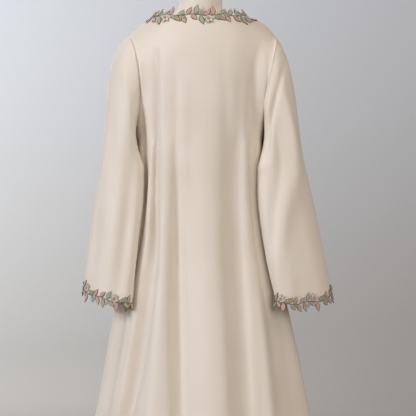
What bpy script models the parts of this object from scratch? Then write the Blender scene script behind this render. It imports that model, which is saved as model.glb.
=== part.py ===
"""Open-front abaya cloak with leaf-vine trims, resting on a limbless dress form.

Metres, +Z up. The back of the cloak faces -Y and the origin is the middle of the
underside of the base. Bearings are degrees round the body: 0 at the centre back,
90 at the side seam on +X, -90 at the side seam on -X, 180 at the centre front.
"""

from math import asin, atan2, cos, degrees, exp, pi, radians, sin

import bmesh
import bpy
from mathutils import Vector
from mathutils.bvhtree import BVHTree

# Driving sizes
CLOTH = 0.0015
SEAM_GAP = 0.0003
TRIM_THICK = 0.0013
TRIM_GAP = 0.0006
HEM_Z = 0.060
YOKE_Z = 1.120
NECK_HALF = 0.130
NECK_SIDE_Z = 1.453
RIDGE_Y = 0.008
SHOULDER_FALL_LEFT = 1.20
SHOULDER_FALL_RIGHT = 1.90
ARMHOLE_MID_Z = 1.285
ARMHOLE_HALF_HEIGHT = 0.120
ARMHOLE_HALF_DEPTH = 0.078
SLEEVE_Z = 1.060
SLEEVE_CLEAR = 0.0060
CUFF_CLEAR = 0.0150
FRONT_GAP_NECK = 0.004
FRONT_GAP_HEM = 0.030

# Bearings where the top edge changes from neckline to shoulder seam to armhole
NECK_BEARING = 38.0
SHOULDER_BEARING = 52.0
SIDE_BEARING = 90.0
JUST_PAST = 0.000001

# Body of the cloak, a row for each level:
# height, half width, depth behind the middle, depth before it, sideways shift
BODY_LEVELS = (
    (0.060, 0.340, 0.250, 0.252, 0.009),
    (0.300, 0.299, 0.214, 0.218, 0.009),
    (0.520, 0.259, 0.180, 0.186, 0.008),
    (0.700, 0.224, 0.152, 0.160, 0.004),
    (0.860, 0.187, 0.130, 0.140, 0.002),
    (1.000, 0.166, 0.117, 0.130, 0.000),
    (1.120, 0.161, 0.113, 0.127, 0.000),
)

# Long folds, a row for each: bearing at the yoke, bearing at the hem, half spread
# at the yoke, half spread at the hem (degrees), height at the yoke, height at the
# hem (metres, ridges above nought and troughs below it)
FOLDS = (
    (-68.0, -80.0, 6.0, 7.5, 0.0030, 0.0110),
    (-58.0, -70.0, 5.0, 6.0, -0.0070, -0.0150),
    (-49.0, -61.0, 4.5, 6.0, 0.0045, 0.0090),
    (-42.0, -51.0, 4.0, 6.0, -0.0030, -0.0190),
    (-29.0, -24.0, 6.0, 9.0, 0.0060, 0.0180),
    (-16.0, -7.0, 6.0, 6.5, -0.0050, -0.0150),
    (11.0, 7.5, 9.0, 6.5, 0.0050, 0.0140),
    (36.0, 22.0, 6.5, 6.5, -0.0075, -0.0190),
    (47.5, 33.0, 4.0, 4.5, 0.0060, 0.0150),
    (57.0, 49.0, 5.0, 7.5, -0.0085, -0.0160),
    (68.0, 70.0, 5.5, 8.0, 0.0040, 0.0150),
    (104.0, 106.0, 6.0, 8.0, -0.0040, -0.0150),
    (118.0, 122.0, 6.0, 7.0, 0.0040, 0.0140),
    (133.0, 139.0, 5.5, 6.5, -0.0030, -0.0130),
    (147.0, 155.0, 6.0, 7.0, 0.0035, 0.0120),
    (-104.0, -101.0, 6.0, 7.0, -0.0040, -0.0120),
    (-118.0, -118.0, 6.0, 8.0, 0.0040, 0.0150),
    (-134.0, -136.0, 6.0, 6.5, -0.0040, -0.0150),
    (-149.0, -153.0, 5.5, 7.5, 0.0030, 0.0130),
)

# Neckline, a row for each place: bearing, across, back to front, height, and the
# direction in which the cloth leaves the edge (outwards, backwards, down)
NECK_BACK = (
    (0.0, 0.000, -0.074, 1.4560, 0.00, 0.50, 0.86),
    (14.0, 0.052, -0.068, 1.4562, 0.10, 0.55, 0.82),
    (25.0, 0.095, -0.049, 1.4560, 0.13, 0.74, 0.68),
    (32.0, 0.119, -0.023, 1.4550, 0.10, 0.95, 0.48),
    (38.0, 0.130, 0.008, 1.4530, 0.05, 1.20, 0.30),
)
NECK_FRONT = (
    (142.0, 0.130, 0.008, 1.4530, 0.05, -1.20, 0.30),
    (148.0, 0.125, 0.038, 1.4410, 0.10, -0.93, 0.48),
    (157.0, 0.102, 0.071, 1.4160, 0.12, -0.66, 0.72),
    (168.0, 0.056, 0.098, 1.3860, 0.08, -0.42, 0.90),
    (180.0, 0.000, 0.106, 1.3740, 0.00, -0.32, 0.95),
)

# Way the cloth leaves the shoulder seam at its neck end and at its arm end
# (outwards, backwards, down)
SHOULDER_LEAVE = (
    (0.05, 1.20, 0.30),
    (-0.73, 1.30, -0.03),
)
YOKE_LEAD = 0.82
YOKE_ARRIVE = 0.90
RUN_ON = 0.020

# Armhole seams, a row for each place: turn from the shoulder point (0) by the back
# (90) to the underarm (180), how far out the seam lies, and how strongly the
# panel's cloth leaves it inwards, backwards and down
ARMHOLE_LEFT = (
    (0.0, 0.189, 0.73, 1.30, -0.03),
    (30.0, 0.176, 0.50, 0.83, 0.06),
    (70.0, 0.161, 0.31, 0.80, 0.69),
    (110.0, 0.158, 0.12, 0.30, 0.77),
    (150.0, 0.163, 0.15, -0.12, 1.20),
    (180.0, 0.170, 0.00, 0.00, 0.95),
)
ARMHOLE_RIGHT = (
    (0.0, 0.197, 0.73, 1.30, -0.03),
    (30.0, 0.197, 0.50, 0.83, 0.06),
    (70.0, 0.184, 0.31, 0.80, 0.69),
    (110.0, 0.166, 0.12, 0.30, 0.77),
    (150.0, 0.163, 0.15, -0.12, 1.20),
    (180.0, 0.170, 0.00, 0.00, 0.95),
)

# Sleeves, a row for each level: height, outer edge, inner edge, back to front
# place of the middle, half depth, turn of the flat section (degrees)
SLEEVE_LEFT = (
    (0.740, 0.299, 0.170, -0.070, 0.038, 31.0),
    (0.820, 0.291, 0.162, -0.060, 0.040, 30.0),
    (0.902, 0.280, 0.153, -0.049, 0.042, 28.0),
    (0.980, 0.270, 0.144, -0.039, 0.046, 26.0),
    (1.060, 0.256, 0.138, -0.028, 0.052, 22.0),
)
SLEEVE_RIGHT = (
    (0.740, 0.336, 0.190, -0.062, 0.040, 30.0),
    (0.820, 0.321, 0.173, -0.055, 0.042, 29.0),
    (0.902, 0.305, 0.159, -0.046, 0.043, 28.0),
    (0.980, 0.289, 0.147, -0.037, 0.047, 26.0),
    (1.060, 0.270, 0.141, -0.028, 0.053, 22.0),
)
SLEEVE_ROUND = 0.80

# How the cloth swells out of the armhole: outwards at the underarm, how much more
# at the shoulder, forwards and backwards, down, and for how far it does so
SLEEVE_OUT = 0.10
SLEEVE_OUT_TOP_LEFT = 1.02
SLEEVE_OUT_TOP_RIGHT = 0.54
SLEEVE_BULGE = 0.26
SLEEVE_DOWN = 0.85
SLEEVE_LEAD = 0.80
SLEEVE_ARRIVE = 0.90

# Cuff edge: middle height, how much higher the outer side is, how much lower the
# back is
CUFF_LEFT = (0.742, 0.020, 0.006)
CUFF_RIGHT = (0.740, 0.012, 0.016)

# Sleeve folds, a row for each: turn at the armhole, turn at the cuff, half spread
# (degrees), height at the armhole, height at the cuff; and the share of its turning
# that a fold has done by the top of the lower sleeve
FOLD_TURN = 0.35
SLEEVE_FOLDS_LEFT = (
    (62.0, 58.0, 13.0, -0.0020, -0.0020),
    (100.0, 92.0, 15.0, 0.0030, 0.0040),
    (140.0, 128.0, 12.0, -0.0025, -0.0045),
    (232.0, 238.0, 15.0, 0.0000, -0.0040),
    (285.0, 292.0, 16.0, 0.0020, 0.0035),
)
SLEEVE_FOLDS_RIGHT = (
    (24.0, 168.0, 11.0, 0.0070, 0.0020),
    (52.0, 196.0, 10.0, -0.0050, -0.0015),
    (70.0, 66.0, 14.0, 0.0020, 0.0040),
    (112.0, 106.0, 13.0, -0.0020, -0.0040),
    (235.0, 240.0, 15.0, 0.0000, -0.0040),
    (290.0, 286.0, 16.0, 0.0020, 0.0030),
)

# Dress form, a row for each level: height, half width, depth behind, depth before
FORM_LEVELS = (
    (0.800, 0.146, 0.094, 0.086),
    (0.806, 0.152, 0.100, 0.090),
    (0.880, 0.156, 0.103, 0.094),
    (0.960, 0.143, 0.092, 0.090),
    (1.060, 0.118, 0.074, 0.086),
    (1.140, 0.129, 0.080, 0.099),
    (1.220, 0.142, 0.088, 0.109),
    (1.300, 0.150, 0.092, 0.100),
    (1.350, 0.164, 0.088, 0.086),
    (1.385, 0.172, 0.071, 0.064),
    (1.402, 0.171, 0.062, 0.056),
    (1.420, 0.163, 0.057, 0.052),
    (1.436, 0.146, 0.057, 0.048),
    (1.448, 0.116, 0.061, 0.046),
    (1.458, 0.084, 0.058, 0.048),
    (1.468, 0.067, 0.057, 0.052),
    (1.484, 0.058, 0.056, 0.052),
    (1.526, 0.056, 0.055, 0.052),
    (1.533, 0.052, 0.051, 0.048),
)
FORM_SHIFT_Y = 0.006
POLE_RADIUS = 0.016
POLE_TOP = 0.7997
BASE_RADIUS = 0.180
BASE_EDGE = 0.011
BASE_TOP = 0.022
BASE_FALL = 0.006
BASE_FALL_RADIUS = 0.150
BASE_SHOULDER = 0.004
COLLAR_RADIUS = 0.028
COLLAR_FLARE = 0.010
COLLAR_TOP = 0.050
POLE_SIDES = 24
BASE_SIDES = 36

# Vine trims: half width of the stem, its wave, and the leaf pitch
STEM_HALF = 0.0015
STEM_WAVE = 0.0024
STEM_WAVE_LENGTH = 0.075
LEAF_PITCH = 0.0093
LEAF_FOOT = 0.0030
VINE_START = 0.004
VINE_END = 0.016
FRAME_REACH = 0.010
EDGE_TRY = 0.004
LIFT_ROUNDS = 14

# One stretch of the vine, a row for each leaf: side (1 on the cloth, -1 beyond its
# edge), length, width, lean from the stem (degrees)
LEAVES = (
    (1, 0.0195, 0.0100, 60.0),
    (-1, 0.0215, 0.0098, 66.0),
    (1, 0.0230, 0.0092, 58.0),
    (-1, 0.0170, 0.0092, 58.0),
    (1, 0.0165, 0.0100, 66.0),
    (-1, 0.0240, 0.0102, 70.0),
    (1, 0.0210, 0.0090, 57.0),
    (-1, 0.0160, 0.0090, 58.0),
    (1, 0.0180, 0.0104, 62.0),
    (-1, 0.0195, 0.0092, 60.0),
)

# Mesh counts
NECK_COLUMNS = 10
SHOULDER_COLUMNS = 4
ARMHOLE_COLUMNS = 13
YOKE_STEPS = (0.0, 0.05, 0.14, 0.28, 0.46, 0.70)
BODY_ROWS = 9
SLEEVE_COLUMNS = 2 * ARMHOLE_COLUMNS
SLEEVE_HEAD_STEPS = (0.0, 0.07, 0.18, 0.34, 0.54, 0.77)
SLEEVE_ROWS = 6
FORM_COLUMNS = 28
NORMAL_ROUNDS = 2

COLLECTION = bpy.data.collections.new("abaya_on_dress_form")


def clear_scene():
    """Empty the scene."""
    for item in list(bpy.data.objects):
        bpy.data.objects.remove(item, do_unlink=True)
    bpy.context.scene.collection.children.link(COLLECTION)


def make_material(name, colour, roughness, metallic=0.0):
    """One plain finish."""
    material = bpy.data.materials.new(name)
    material.use_nodes = True
    shader = material.node_tree.nodes["Principled BSDF"]
    shader.inputs["Base Color"].default_value = (*colour, 1.0)
    shader.inputs["Roughness"].default_value = roughness
    shader.inputs["Metallic"].default_value = metallic
    return material


def add_object(name, mesh, material):
    """Put a smooth shaded mesh in the collection."""
    mesh.shade_smooth()
    mesh.set_sharp_from_angle(angle=radians(50.0))
    mesh.materials.append(material)
    item = bpy.data.objects.new(name, mesh)
    COLLECTION.objects.link(item)
    return item


def table_at(rows, key):
    """Values of a table's row at a key, on a smooth curve through its rows."""
    last = len(rows) - 1
    place = 0
    while place < last - 1 and key > rows[place + 1][0]:
        place += 1
    low = rows[place]
    high = rows[place + 1]
    before = rows[max(place - 1, 0)]
    after = rows[min(place + 2, last)]
    span = high[0] - low[0]
    t = min(max((key - low[0]) / span, 0.0), 1.0)
    values = []
    for column in range(1, len(low)):
        slope_low = (high[column] - before[column]) / (high[0] - before[0])
        slope_high = (after[column] - low[column]) / (after[0] - low[0])
        values.append(hermite(low[column], slope_low * span,
                              high[column], slope_high * span, t))
    return values


def hermite(start, leave, end, arrive, t):
    """Cubic from start to end with the given end slopes."""
    return (start * (2 * t ** 3 - 3 * t ** 2 + 1) + leave * (t ** 3 - 2 * t ** 2 + t)
            + end * (3 * t ** 2 - 2 * t ** 3) + arrive * (t ** 3 - t ** 2))


def hump(distance, spread):
    """Rounded rise of one fold across its spread."""
    return exp(-0.5 * (distance / spread) ** 2)


def fold_height(bearing, z):
    """How far the folds move the cloth out at a bearing and height."""
    down = min(max((YOKE_Z - z) / (YOKE_Z - HEM_Z), 0.0), 1.0)
    total = 0.0
    for at_yoke, at_hem, wide_yoke, wide_hem, high_yoke, high_hem in FOLDS:
        centre = at_yoke + (at_hem - at_yoke) * down ** 0.8
        spread = wide_yoke + (wide_hem - wide_yoke) * down
        height = high_yoke + (high_hem - high_yoke) * down
        total += height * hump(bearing - centre, spread)
    return total


def body_point(bearing, z):
    """Outer side of the cloak's body below the yoke."""
    half_width, behind, before, shift = table_at(BODY_LEVELS, z)
    across = sin(radians(bearing)) * half_width
    depth = behind if abs(bearing) <= SIDE_BEARING else before
    back = -cos(radians(bearing)) * depth
    reach = (across ** 2 + back ** 2) ** 0.5
    scale = 1.0 + fold_height(bearing, z) / reach
    return Vector((shift + across * scale, back * scale, z))


def armhole_point(turn, side):
    """One side's armhole seam, placed on +X; turn 0 is the shoulder point."""
    out = armhole_row(turn, side)[0]
    return Vector((out,
                   RIDGE_Y - ARMHOLE_HALF_DEPTH * sin(radians(turn)),
                   ARMHOLE_MID_Z + ARMHOLE_HALF_HEIGHT * cos(radians(turn))))


def armhole_row(turn, side):
    """Values of one side's armhole table at a turn from the shoulder."""
    return table_at(ARMHOLE_RIGHT if side > 0 else ARMHOLE_LEFT, min(turn, 360.0 - turn))


def armhole_leave(turn, side):
    """Direction in which a panel's cloth leaves the armhole seam, on +X."""
    inward, behind, down = armhole_row(turn, side)[1:]
    return Vector((-inward, -behind, -down))


def top_edge(bearing, side):
    """Point of one side's top edge, placed on +X, and how the cloth leaves it."""
    back = bearing <= SIDE_BEARING
    angle = bearing if back else 180.0 - bearing
    facing = 1.0 if back else -1.0
    if angle <= NECK_BEARING:
        out, behind, high, lead_x, lead_y, lead_z = table_at(
            NECK_BACK if back else NECK_FRONT, bearing)
        return Vector((out, behind, high)), Vector((lead_x, -lead_y, -lead_z))
    if angle <= SHOULDER_BEARING:
        along = (angle - NECK_BEARING) / (SHOULDER_BEARING - NECK_BEARING)
        arm_end = armhole_point(0.0, side)
        fall = SHOULDER_FALL_RIGHT if side > 0 else SHOULDER_FALL_LEFT
        point = Vector((NECK_HALF + (arm_end.x - NECK_HALF) * along,
                        RIDGE_Y,
                        NECK_SIDE_Z + (arm_end.z - NECK_SIDE_Z) * along ** fall))
        at_neck, at_arm = Vector(SHOULDER_LEAVE[0]), Vector(SHOULDER_LEAVE[1])
        lead = at_neck.lerp(at_arm, along)
        return point, Vector((lead.x, -lead.y * facing, -lead.z))
    turn = 180.0 * (angle - SHOULDER_BEARING) / (SIDE_BEARING - SHOULDER_BEARING)
    point = armhole_point(turn, side)
    lead = armhole_leave(turn, side)
    if not back:
        point.y = 2.0 * RIDGE_Y - point.y
        lead.y = -lead.y
    return point, lead


def front_edge_half_gap(z):
    """Half the gap between the two fronts at a height."""
    down = (NECK_SIDE_Z - z) / (NECK_SIDE_Z - HEM_Z)
    return 0.5 * (FRONT_GAP_NECK + (FRONT_GAP_HEM - FRONT_GAP_NECK) * down)


def trimmed_bearing(bearing, z):
    """A bearing drawn in from the side seam and from the fronts' open edge."""
    half_width, behind = table_at(BODY_LEVELS, z)[:2]
    size = abs(bearing)
    if size == SIDE_BEARING:
        inset = degrees(SEAM_GAP / 2.0 / behind)
        size = SIDE_BEARING - inset
    elif size > SIDE_BEARING:
        seam = SIDE_BEARING + degrees(SEAM_GAP / 2.0 / behind)
        edge = 180.0 - degrees(asin(front_edge_half_gap(z) / half_width))
        along = (size - SIDE_BEARING) / (180.0 - SIDE_BEARING)
        size = seam + (edge - seam) * along
    return size if bearing >= 0 else -size


def panel_column(bearing, front):
    """Outer points of one column of a panel, from its top edge to the hem."""
    sign = 1.0 if bearing >= 0 else -1.0
    size = abs(bearing)
    if front and size == SIDE_BEARING:
        size += JUST_PAST
    start, lead = top_edge(size, sign)
    low_bearing = trimmed_bearing(sign * size, YOKE_Z)
    end = body_point(low_bearing, YOKE_Z)
    below = body_point(trimmed_bearing(sign * size, YOKE_Z - RUN_ON), YOKE_Z - RUN_ON)
    if front:
        start.x = max(start.x, front_edge_half_gap(start.z))
        start.y += SEAM_GAP / 2.0
    else:
        start.y -= SEAM_GAP / 2.0
    start.x *= sign
    lead = Vector((lead.x * sign, lead.y, lead.z))
    length = (end - start).length
    arrive = (below - end).normalized() * length * YOKE_ARRIVE
    column = []
    for step in YOKE_STEPS:
        column.append(hermite(start, lead * length * YOKE_LEAD, end, arrive, step))
    for row in range(BODY_ROWS + 1):
        z = YOKE_Z + (HEM_Z - YOKE_Z) * row / BODY_ROWS
        column.append(body_point(trimmed_bearing(sign * size, z), z))
    return column


def panel_bearings(front):
    """Bearings of the columns from the middle out to the side seam."""
    stretches = ((0.0, NECK_BEARING, NECK_COLUMNS),
                 (NECK_BEARING, SHOULDER_BEARING, SHOULDER_COLUMNS),
                 (SHOULDER_BEARING, SIDE_BEARING, ARMHOLE_COLUMNS))
    angles = [0.0]
    for low, high, count in stretches:
        angles += [low + (high - low) * (i + 1) / count for i in range(count)]
    if front:
        return [180.0 - angle for angle in angles]
    return angles


def skin_faces(grid, wrap):
    """Triangles over a grid of columns, facing out, cut on the shorter diagonals."""
    count = len(grid)
    rows = len(grid[0])
    faces = []
    for i in range(count if wrap else count - 1):
        k = (i + 1) % count
        for j in range(rows - 1):
            a, b = i * rows + j, k * rows + j
            falling = (grid[i][j] - grid[k][j + 1]).length
            rising = (grid[i][j + 1] - grid[k][j]).length
            if falling <= rising:
                faces += [(a, a + 1, b + 1), (a, b + 1, b)]
            else:
                faces += [(a, a + 1, b), (a + 1, b + 1, b)]
    return faces


def grid_normals(grid, wrap):
    """Outward direction at each point of a grid of columns."""
    rows = len(grid[0])
    skin = bmesh.new()
    points = [skin.verts.new(p) for column in grid for p in column]
    for face in skin_faces(grid, wrap):
        skin.faces.new([points[i] for i in face])
    skin.normal_update()
    for _ in range(NORMAL_ROUNDS):
        evened = [sum((edge.other_vert(point).normal for edge in point.link_edges),
                      2.0 * point.normal).normalized() for point in points]
        for point, normal in zip(points, evened):
            point.normal = normal
    normals = [[points[i * rows + j].normal.copy() for j in range(rows)]
               for i in range(len(grid))]
    skin.free()
    return normals


def wall_mesh(name, grid, normals, thickness, wrap):
    """Closed wall: an outer skin, an inner skin stepped in, and the rims."""
    mesh = bmesh.new()
    count = len(grid)
    rows = len(grid[0])
    outer = [mesh.verts.new(p) for column in grid for p in column]
    inner = [mesh.verts.new(p - n * thickness)
             for column, line in zip(grid, normals) for p, n in zip(column, line)]
    for face in skin_faces(grid, wrap):
        mesh.faces.new([outer[i] for i in face])
        mesh.faces.new([inner[i] for i in reversed(face)])
    for i in range(count if wrap else count - 1):
        k = (i + 1) % count
        for j in (0, rows - 1):
            a, b = i * rows + j, k * rows + j
            rim = (outer[a], outer[b], inner[b], inner[a])
            mesh.faces.new(rim if j == 0 else rim[::-1])
    if not wrap:
        for i in (0, count - 1):
            for j in range(rows - 1):
                a = i * rows + j
                rim = (outer[a], inner[a], inner[a + 1], outer[a + 1])
                mesh.faces.new(rim if i == 0 else rim[::-1])
    return finish_mesh(name, mesh)


def finish_mesh(name, mesh):
    """Turn a closed bmesh into a mesh with its faces pointing out."""
    bmesh.ops.recalc_face_normals(mesh, faces=mesh.faces[:])
    if mesh.calc_volume(signed=True) < 0.0:
        bmesh.ops.reverse_faces(mesh, faces=mesh.faces[:])
    data = bpy.data.meshes.new(name)
    mesh.to_mesh(data)
    mesh.free()
    return data


def square_seam_normals(bearings, grid, normals):
    """Stand the wall's top rim upright at the shoulder and away from the sleeve."""
    for bearing, column, line in zip(bearings, grid, normals):
        size = min(abs(bearing), 180.0 - abs(bearing))
        side = 1.0 if column[0].x >= 0 else -1.0
        if abs(bearing) == SIDE_BEARING:
            for row, normal in enumerate(line):
                line[row] = Vector((normal.x, 0.0, normal.z)).normalized()
        elif NECK_BEARING <= size <= SHOULDER_BEARING:
            line[0] = Vector((line[0].x, 0.0, line[0].z)).normalized()
        elif size > SHOULDER_BEARING and line[0].x * side < 0.0:
            line[0] = Vector((0.0, line[0].y, line[0].z)).normalized()


def build_panel(name, bearings, front, material):
    """One body panel of the cloak."""
    grid = [panel_column(bearing, front) for bearing in bearings]
    normals = grid_normals(grid, wrap=False)
    square_seam_normals(bearings, grid, normals)
    add_object(name, wall_mesh(name, grid, normals, CLOTH, wrap=False), material)
    return grid


def rounded(value):
    """Cosine or sine of a section that is fuller than an oval."""
    return (1.0 if value >= 0.0 else -1.0) * abs(value) ** SLEEVE_ROUND


def sleeve_section(table, folds, turn, z):
    """Outer side of a sleeve on +X at a turn and height, before it is cleared."""
    outer, inner, middle_y, half_depth, tilt = table_at(table, z)
    lean = radians(tilt)
    reach = (0.25 * (outer - inner) ** 2 - (half_depth * sin(lean)) ** 2) ** 0.5
    half_width = reach / cos(lean)
    along = Vector((cos(lean), sin(lean), 0.0))
    behind = Vector((sin(lean), -cos(lean), 0.0))
    down = (SLEEVE_Z - z) / (SLEEVE_Z - table[0][0])
    rise = 0.0
    for at_head, at_cuff, spread, high_head, high_cuff in folds:
        centre = at_head + (at_cuff - at_head) * (FOLD_TURN + (1.0 - FOLD_TURN) * down)
        away = (turn - centre + 180.0) % 360.0 - 180.0
        rise += (high_head + (high_cuff - high_head) * down) * hump(away, spread)
    middle = Vector((0.5 * (outer + inner), middle_y, z))
    return (middle + along * (half_width + rise) * rounded(cos(radians(turn)))
            + behind * (half_depth + rise) * rounded(sin(radians(turn))))


def clear_of_body(point):
    """Move a sleeve's point out until it is clear of the body's cloth."""
    z = min(point.z, YOKE_Z)
    half_width, behind, before, shift = table_at(BODY_LEVELS, z)
    across = point.x - shift
    depth = behind if point.y <= 0.0 else before
    bearing = degrees(atan2(across / half_width, -point.y / depth))
    body = body_point(bearing, z)
    down = min(max((SLEEVE_Z - z) / (SLEEVE_Z - CUFF_LEFT[0]), 0.0), 1.0)
    clear = SLEEVE_CLEAR + (CUFF_CLEAR - SLEEVE_CLEAR) * down
    limit = ((body.x - shift) ** 2 + body.y ** 2) ** 0.5 + clear
    scale = max(limit / (across ** 2 + point.y ** 2) ** 0.5, 1.0)
    return Vector((shift + across * scale, point.y * scale, point.z))


def cuff_height(cuff, turn):
    """Height of the cuff's edge at a turn."""
    middle, outer_rise, back_dip = cuff
    return middle + outer_rise * cos(radians(turn)) - back_dip * sin(radians(turn))


def sleeve_column(table, folds, cuff, turn, side):
    """Outer points of one column of a sleeve, from the armhole to the cuff."""
    start = armhole_point(turn, side)
    start.x += SEAM_GAP
    end = sleeve_section(table, folds, turn, SLEEVE_Z)
    below = sleeve_section(table, folds, turn, SLEEVE_Z - RUN_ON)
    length = (end - start).length
    upper = 0.5 + 0.5 * cos(radians(turn))
    swell = SLEEVE_OUT_TOP_RIGHT if side > 0 else SLEEVE_OUT_TOP_LEFT
    lead = Vector((SLEEVE_OUT + swell * upper, -SLEEVE_BULGE * sin(radians(turn)),
                   -SLEEVE_DOWN)).normalized()
    arrive = (below - end).normalized() * length * SLEEVE_ARRIVE
    column = [hermite(start, lead * length * SLEEVE_LEAD, end, arrive, step)
              for step in SLEEVE_HEAD_STEPS]
    edge = cuff_height(cuff, turn)
    for row in range(SLEEVE_ROWS + 1):
        z = SLEEVE_Z + (edge - SLEEVE_Z) * row / SLEEVE_ROWS
        column.append(sleeve_section(table, folds, turn, z))
    placed = [Vector((side * p.x, p.y, p.z)) for p in column]
    return placed[:1] + [clear_of_body(p) for p in placed[1:]]


def build_sleeve(name, table, folds, cuff, side, material):
    """One set-in sleeve, open at the armhole and at the cuff."""
    turns = [360.0 * i / SLEEVE_COLUMNS for i in range(SLEEVE_COLUMNS)]
    if side > 0:
        turns.reverse()
    grid = [sleeve_column(table, folds, cuff, turn, side) for turn in turns]
    normals = grid_normals(grid, wrap=True)
    for line in normals:
        if line[0].x * side > 0.0:
            line[0] = Vector((0.0, line[0].y, line[0].z)).normalized()
    add_object(name, wall_mesh(name, grid, normals, CLOTH, wrap=True), material)
    return grid


def skin_tree(grids, wrap):
    """Search tree over the outer skins of some panels."""
    points = []
    faces = []
    for grid in grids:
        base = len(points)
        points += [p for column in grid for p in column]
        faces += [[base + i for i in face] for face in skin_faces(grid, wrap)]
    return BVHTree.FromPolygons(points, faces)


def line_lengths(points):
    """Distance along a line at each of its points."""
    lengths = [0.0]
    for a, b in zip(points, points[1:]):
        lengths.append(lengths[-1] + (b - a).length)
    return lengths


def read_line(points, lengths, distance):
    """Point and direction of a line at a distance along it."""
    place = 0
    while place < len(lengths) - 2 and distance > lengths[place + 1]:
        place += 1
    start, end = points[place], points[place + 1]
    share = (distance - lengths[place]) / (lengths[place + 1] - lengths[place])
    return start.lerp(end, share), (end - start).normalized()


def vine_plan(length, closed):
    """Flat plan of a vine: points (along, on to the cloth) and its faces."""
    start = 0.0 if closed else VINE_START
    run = length if closed else length - VINE_START - VINE_END
    count = 2 * int(0.5 * run / LEAF_PITCH)
    pitch = run / count
    waves = max(round(length / STEM_WAVE_LENGTH), 1)
    stations = [] if closed else [0.5 * VINE_START]
    for i in range(count):
        middle = start + (i + 0.5) * pitch
        stations += [middle - LEAF_FOOT / 2.0, middle + LEAF_FOOT / 2.0]
    if not closed:
        stations.append(length - 0.5 * VINE_END)
    points = []
    faces = []
    for station in stations:
        wave = STEM_WAVE * sin(2.0 * pi * waves * station / length)
        points += [(station, wave - STEM_HALF), (station, wave + STEM_HALF)]
    total = len(stations)
    for i in range(total if closed else total - 1):
        k = (i + 1) % total
        faces.append((2 * i, 2 * k, 2 * k + 1, 2 * i + 1))
    first = 0 if closed else 1
    for i in range(count):
        side, size, width, lean = LEAVES[i % len(LEAVES)]
        left = 2 * (first + 2 * i) + (1 if side > 0 else 0)
        right = left + 2
        root = Vector(points[left]).lerp(Vector(points[right]), 0.5)
        axis = Vector((cos(radians(lean)), side * sin(radians(lean))))
        cross = Vector((axis.y, -axis.x)) * side
        new = len(points)
        for along, half in ((0.34, 0.46), (0.68, 0.42)):
            for hand in (-1.0, 1.0):
                p = root + axis * size * along + cross * width * half * hand
                points.append((p.x, p.y))
        tip = root + axis * size
        points.append((tip.x, tip.y))
        leaf = [(left, right, new + 1, new), (new, new + 1, new + 3, new + 2),
                (new + 2, new + 3, new + 4)]
        faces += leaf if side > 0 else [face[::-1] for face in leaf]
    return points, faces


def edge_frame(tree, edge, lengths, distance, closed):
    """Point of an edge, the cloth's outward side there, and the way on to the cloth."""
    total = lengths[-1]
    normal = Vector()
    tangent = Vector()
    for step in (-1.0, -0.5, 0.0, 0.5, 1.0):
        at = distance + step * FRAME_REACH
        at = at % total if closed else min(max(at, 0.0), total)
        point, direction = read_line(edge, lengths, at)
        tangent += direction
        normal += tree.find_nearest(point)[1]
    base = read_line(edge, lengths, distance % total if closed else distance)[0]
    normal.normalize()
    inward = normal.cross(tangent).normalized()
    if (tree.find_nearest(base + inward * EDGE_TRY)[0] - base).length < 0.75 * EDGE_TRY:
        inward = -inward
    return base, normal, inward


def raise_clear(places, normals, faces, tree):
    """Lift a trim's points until its flat faces clear the cloth under them."""
    for _ in range(LIFT_ROUNDS):
        for face in faces:
            corners = [places[i] for i in face]
            centre = sum(corners, Vector()) / len(corners)
            samples = corners + [centre] + [corner.lerp(centre, 0.5) for corner in corners]
            samples += [a.lerp(b, 0.5) for a, b in zip(corners, corners[1:] + corners[:1])]
            short = 0.0
            for sample in samples:
                foot, normal = tree.find_nearest(sample)[:2]
                short = max(short, TRIM_GAP - (sample - foot).dot(normal))
            if short > 0.1 * TRIM_GAP:
                for i in face:
                    places[i] = places[i] + normals[i] * short * 0.6


def build_vine(name, edge, closed, tree, material):
    """Vine trim laid along an edge: on the cloth, and free beyond its edge."""
    if closed:
        edge = edge + edge[:1]
    lengths = line_lengths(edge)
    plan, faces = vine_plan(lengths[-1], closed)
    places = []
    normals = []
    for along, on in plan:
        base, normal, inward = edge_frame(tree, edge, lengths, along, closed)
        place = base + inward * on
        if on > 0.0:
            place, face_normal = tree.find_nearest(place)[:2]
            normal = (normal + face_normal).normalized()
        places.append(place + normal * TRIM_GAP)
        normals.append(normal)
    raise_clear(places, normals, faces, tree)
    mesh = bmesh.new()
    low = [mesh.verts.new(p) for p in places]
    high = [mesh.verts.new(p + n * TRIM_THICK) for p, n in zip(places, normals)]
    edges = set()
    for face in faces:
        mesh.faces.new([high[i] for i in face])
        mesh.faces.new([low[i] for i in reversed(face)])
        edges.update(zip(face, face[1:] + face[:1]))
    for a, b in sorted(edges):
        if (b, a) not in edges:
            mesh.faces.new((high[b], high[a], low[a], low[b]))
    add_object(name, finish_mesh(name, mesh), material)


def build_form_torso(material):
    """Limbless torso with its neck, closed at both ends."""
    mesh = bmesh.new()
    rings = []
    for height, half_width, behind, before in FORM_LEVELS:
        ring = []
        for i in range(FORM_COLUMNS):
            angle = 2.0 * pi * i / FORM_COLUMNS
            depth = behind if cos(angle) >= 0.0 else before
            ring.append(mesh.verts.new((half_width * sin(angle),
                                        FORM_SHIFT_Y - depth * cos(angle), height)))
        rings.append(ring)
    for low, high in zip(rings, rings[1:]):
        for i in range(FORM_COLUMNS):
            k = (i + 1) % FORM_COLUMNS
            mesh.faces.new((low[i], low[k], high[k], high[i]))
    mesh.faces.new(rings[0][::-1])
    mesh.faces.new(rings[-1])
    add_object("form_torso", finish_mesh("form_torso", mesh), material)


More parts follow.
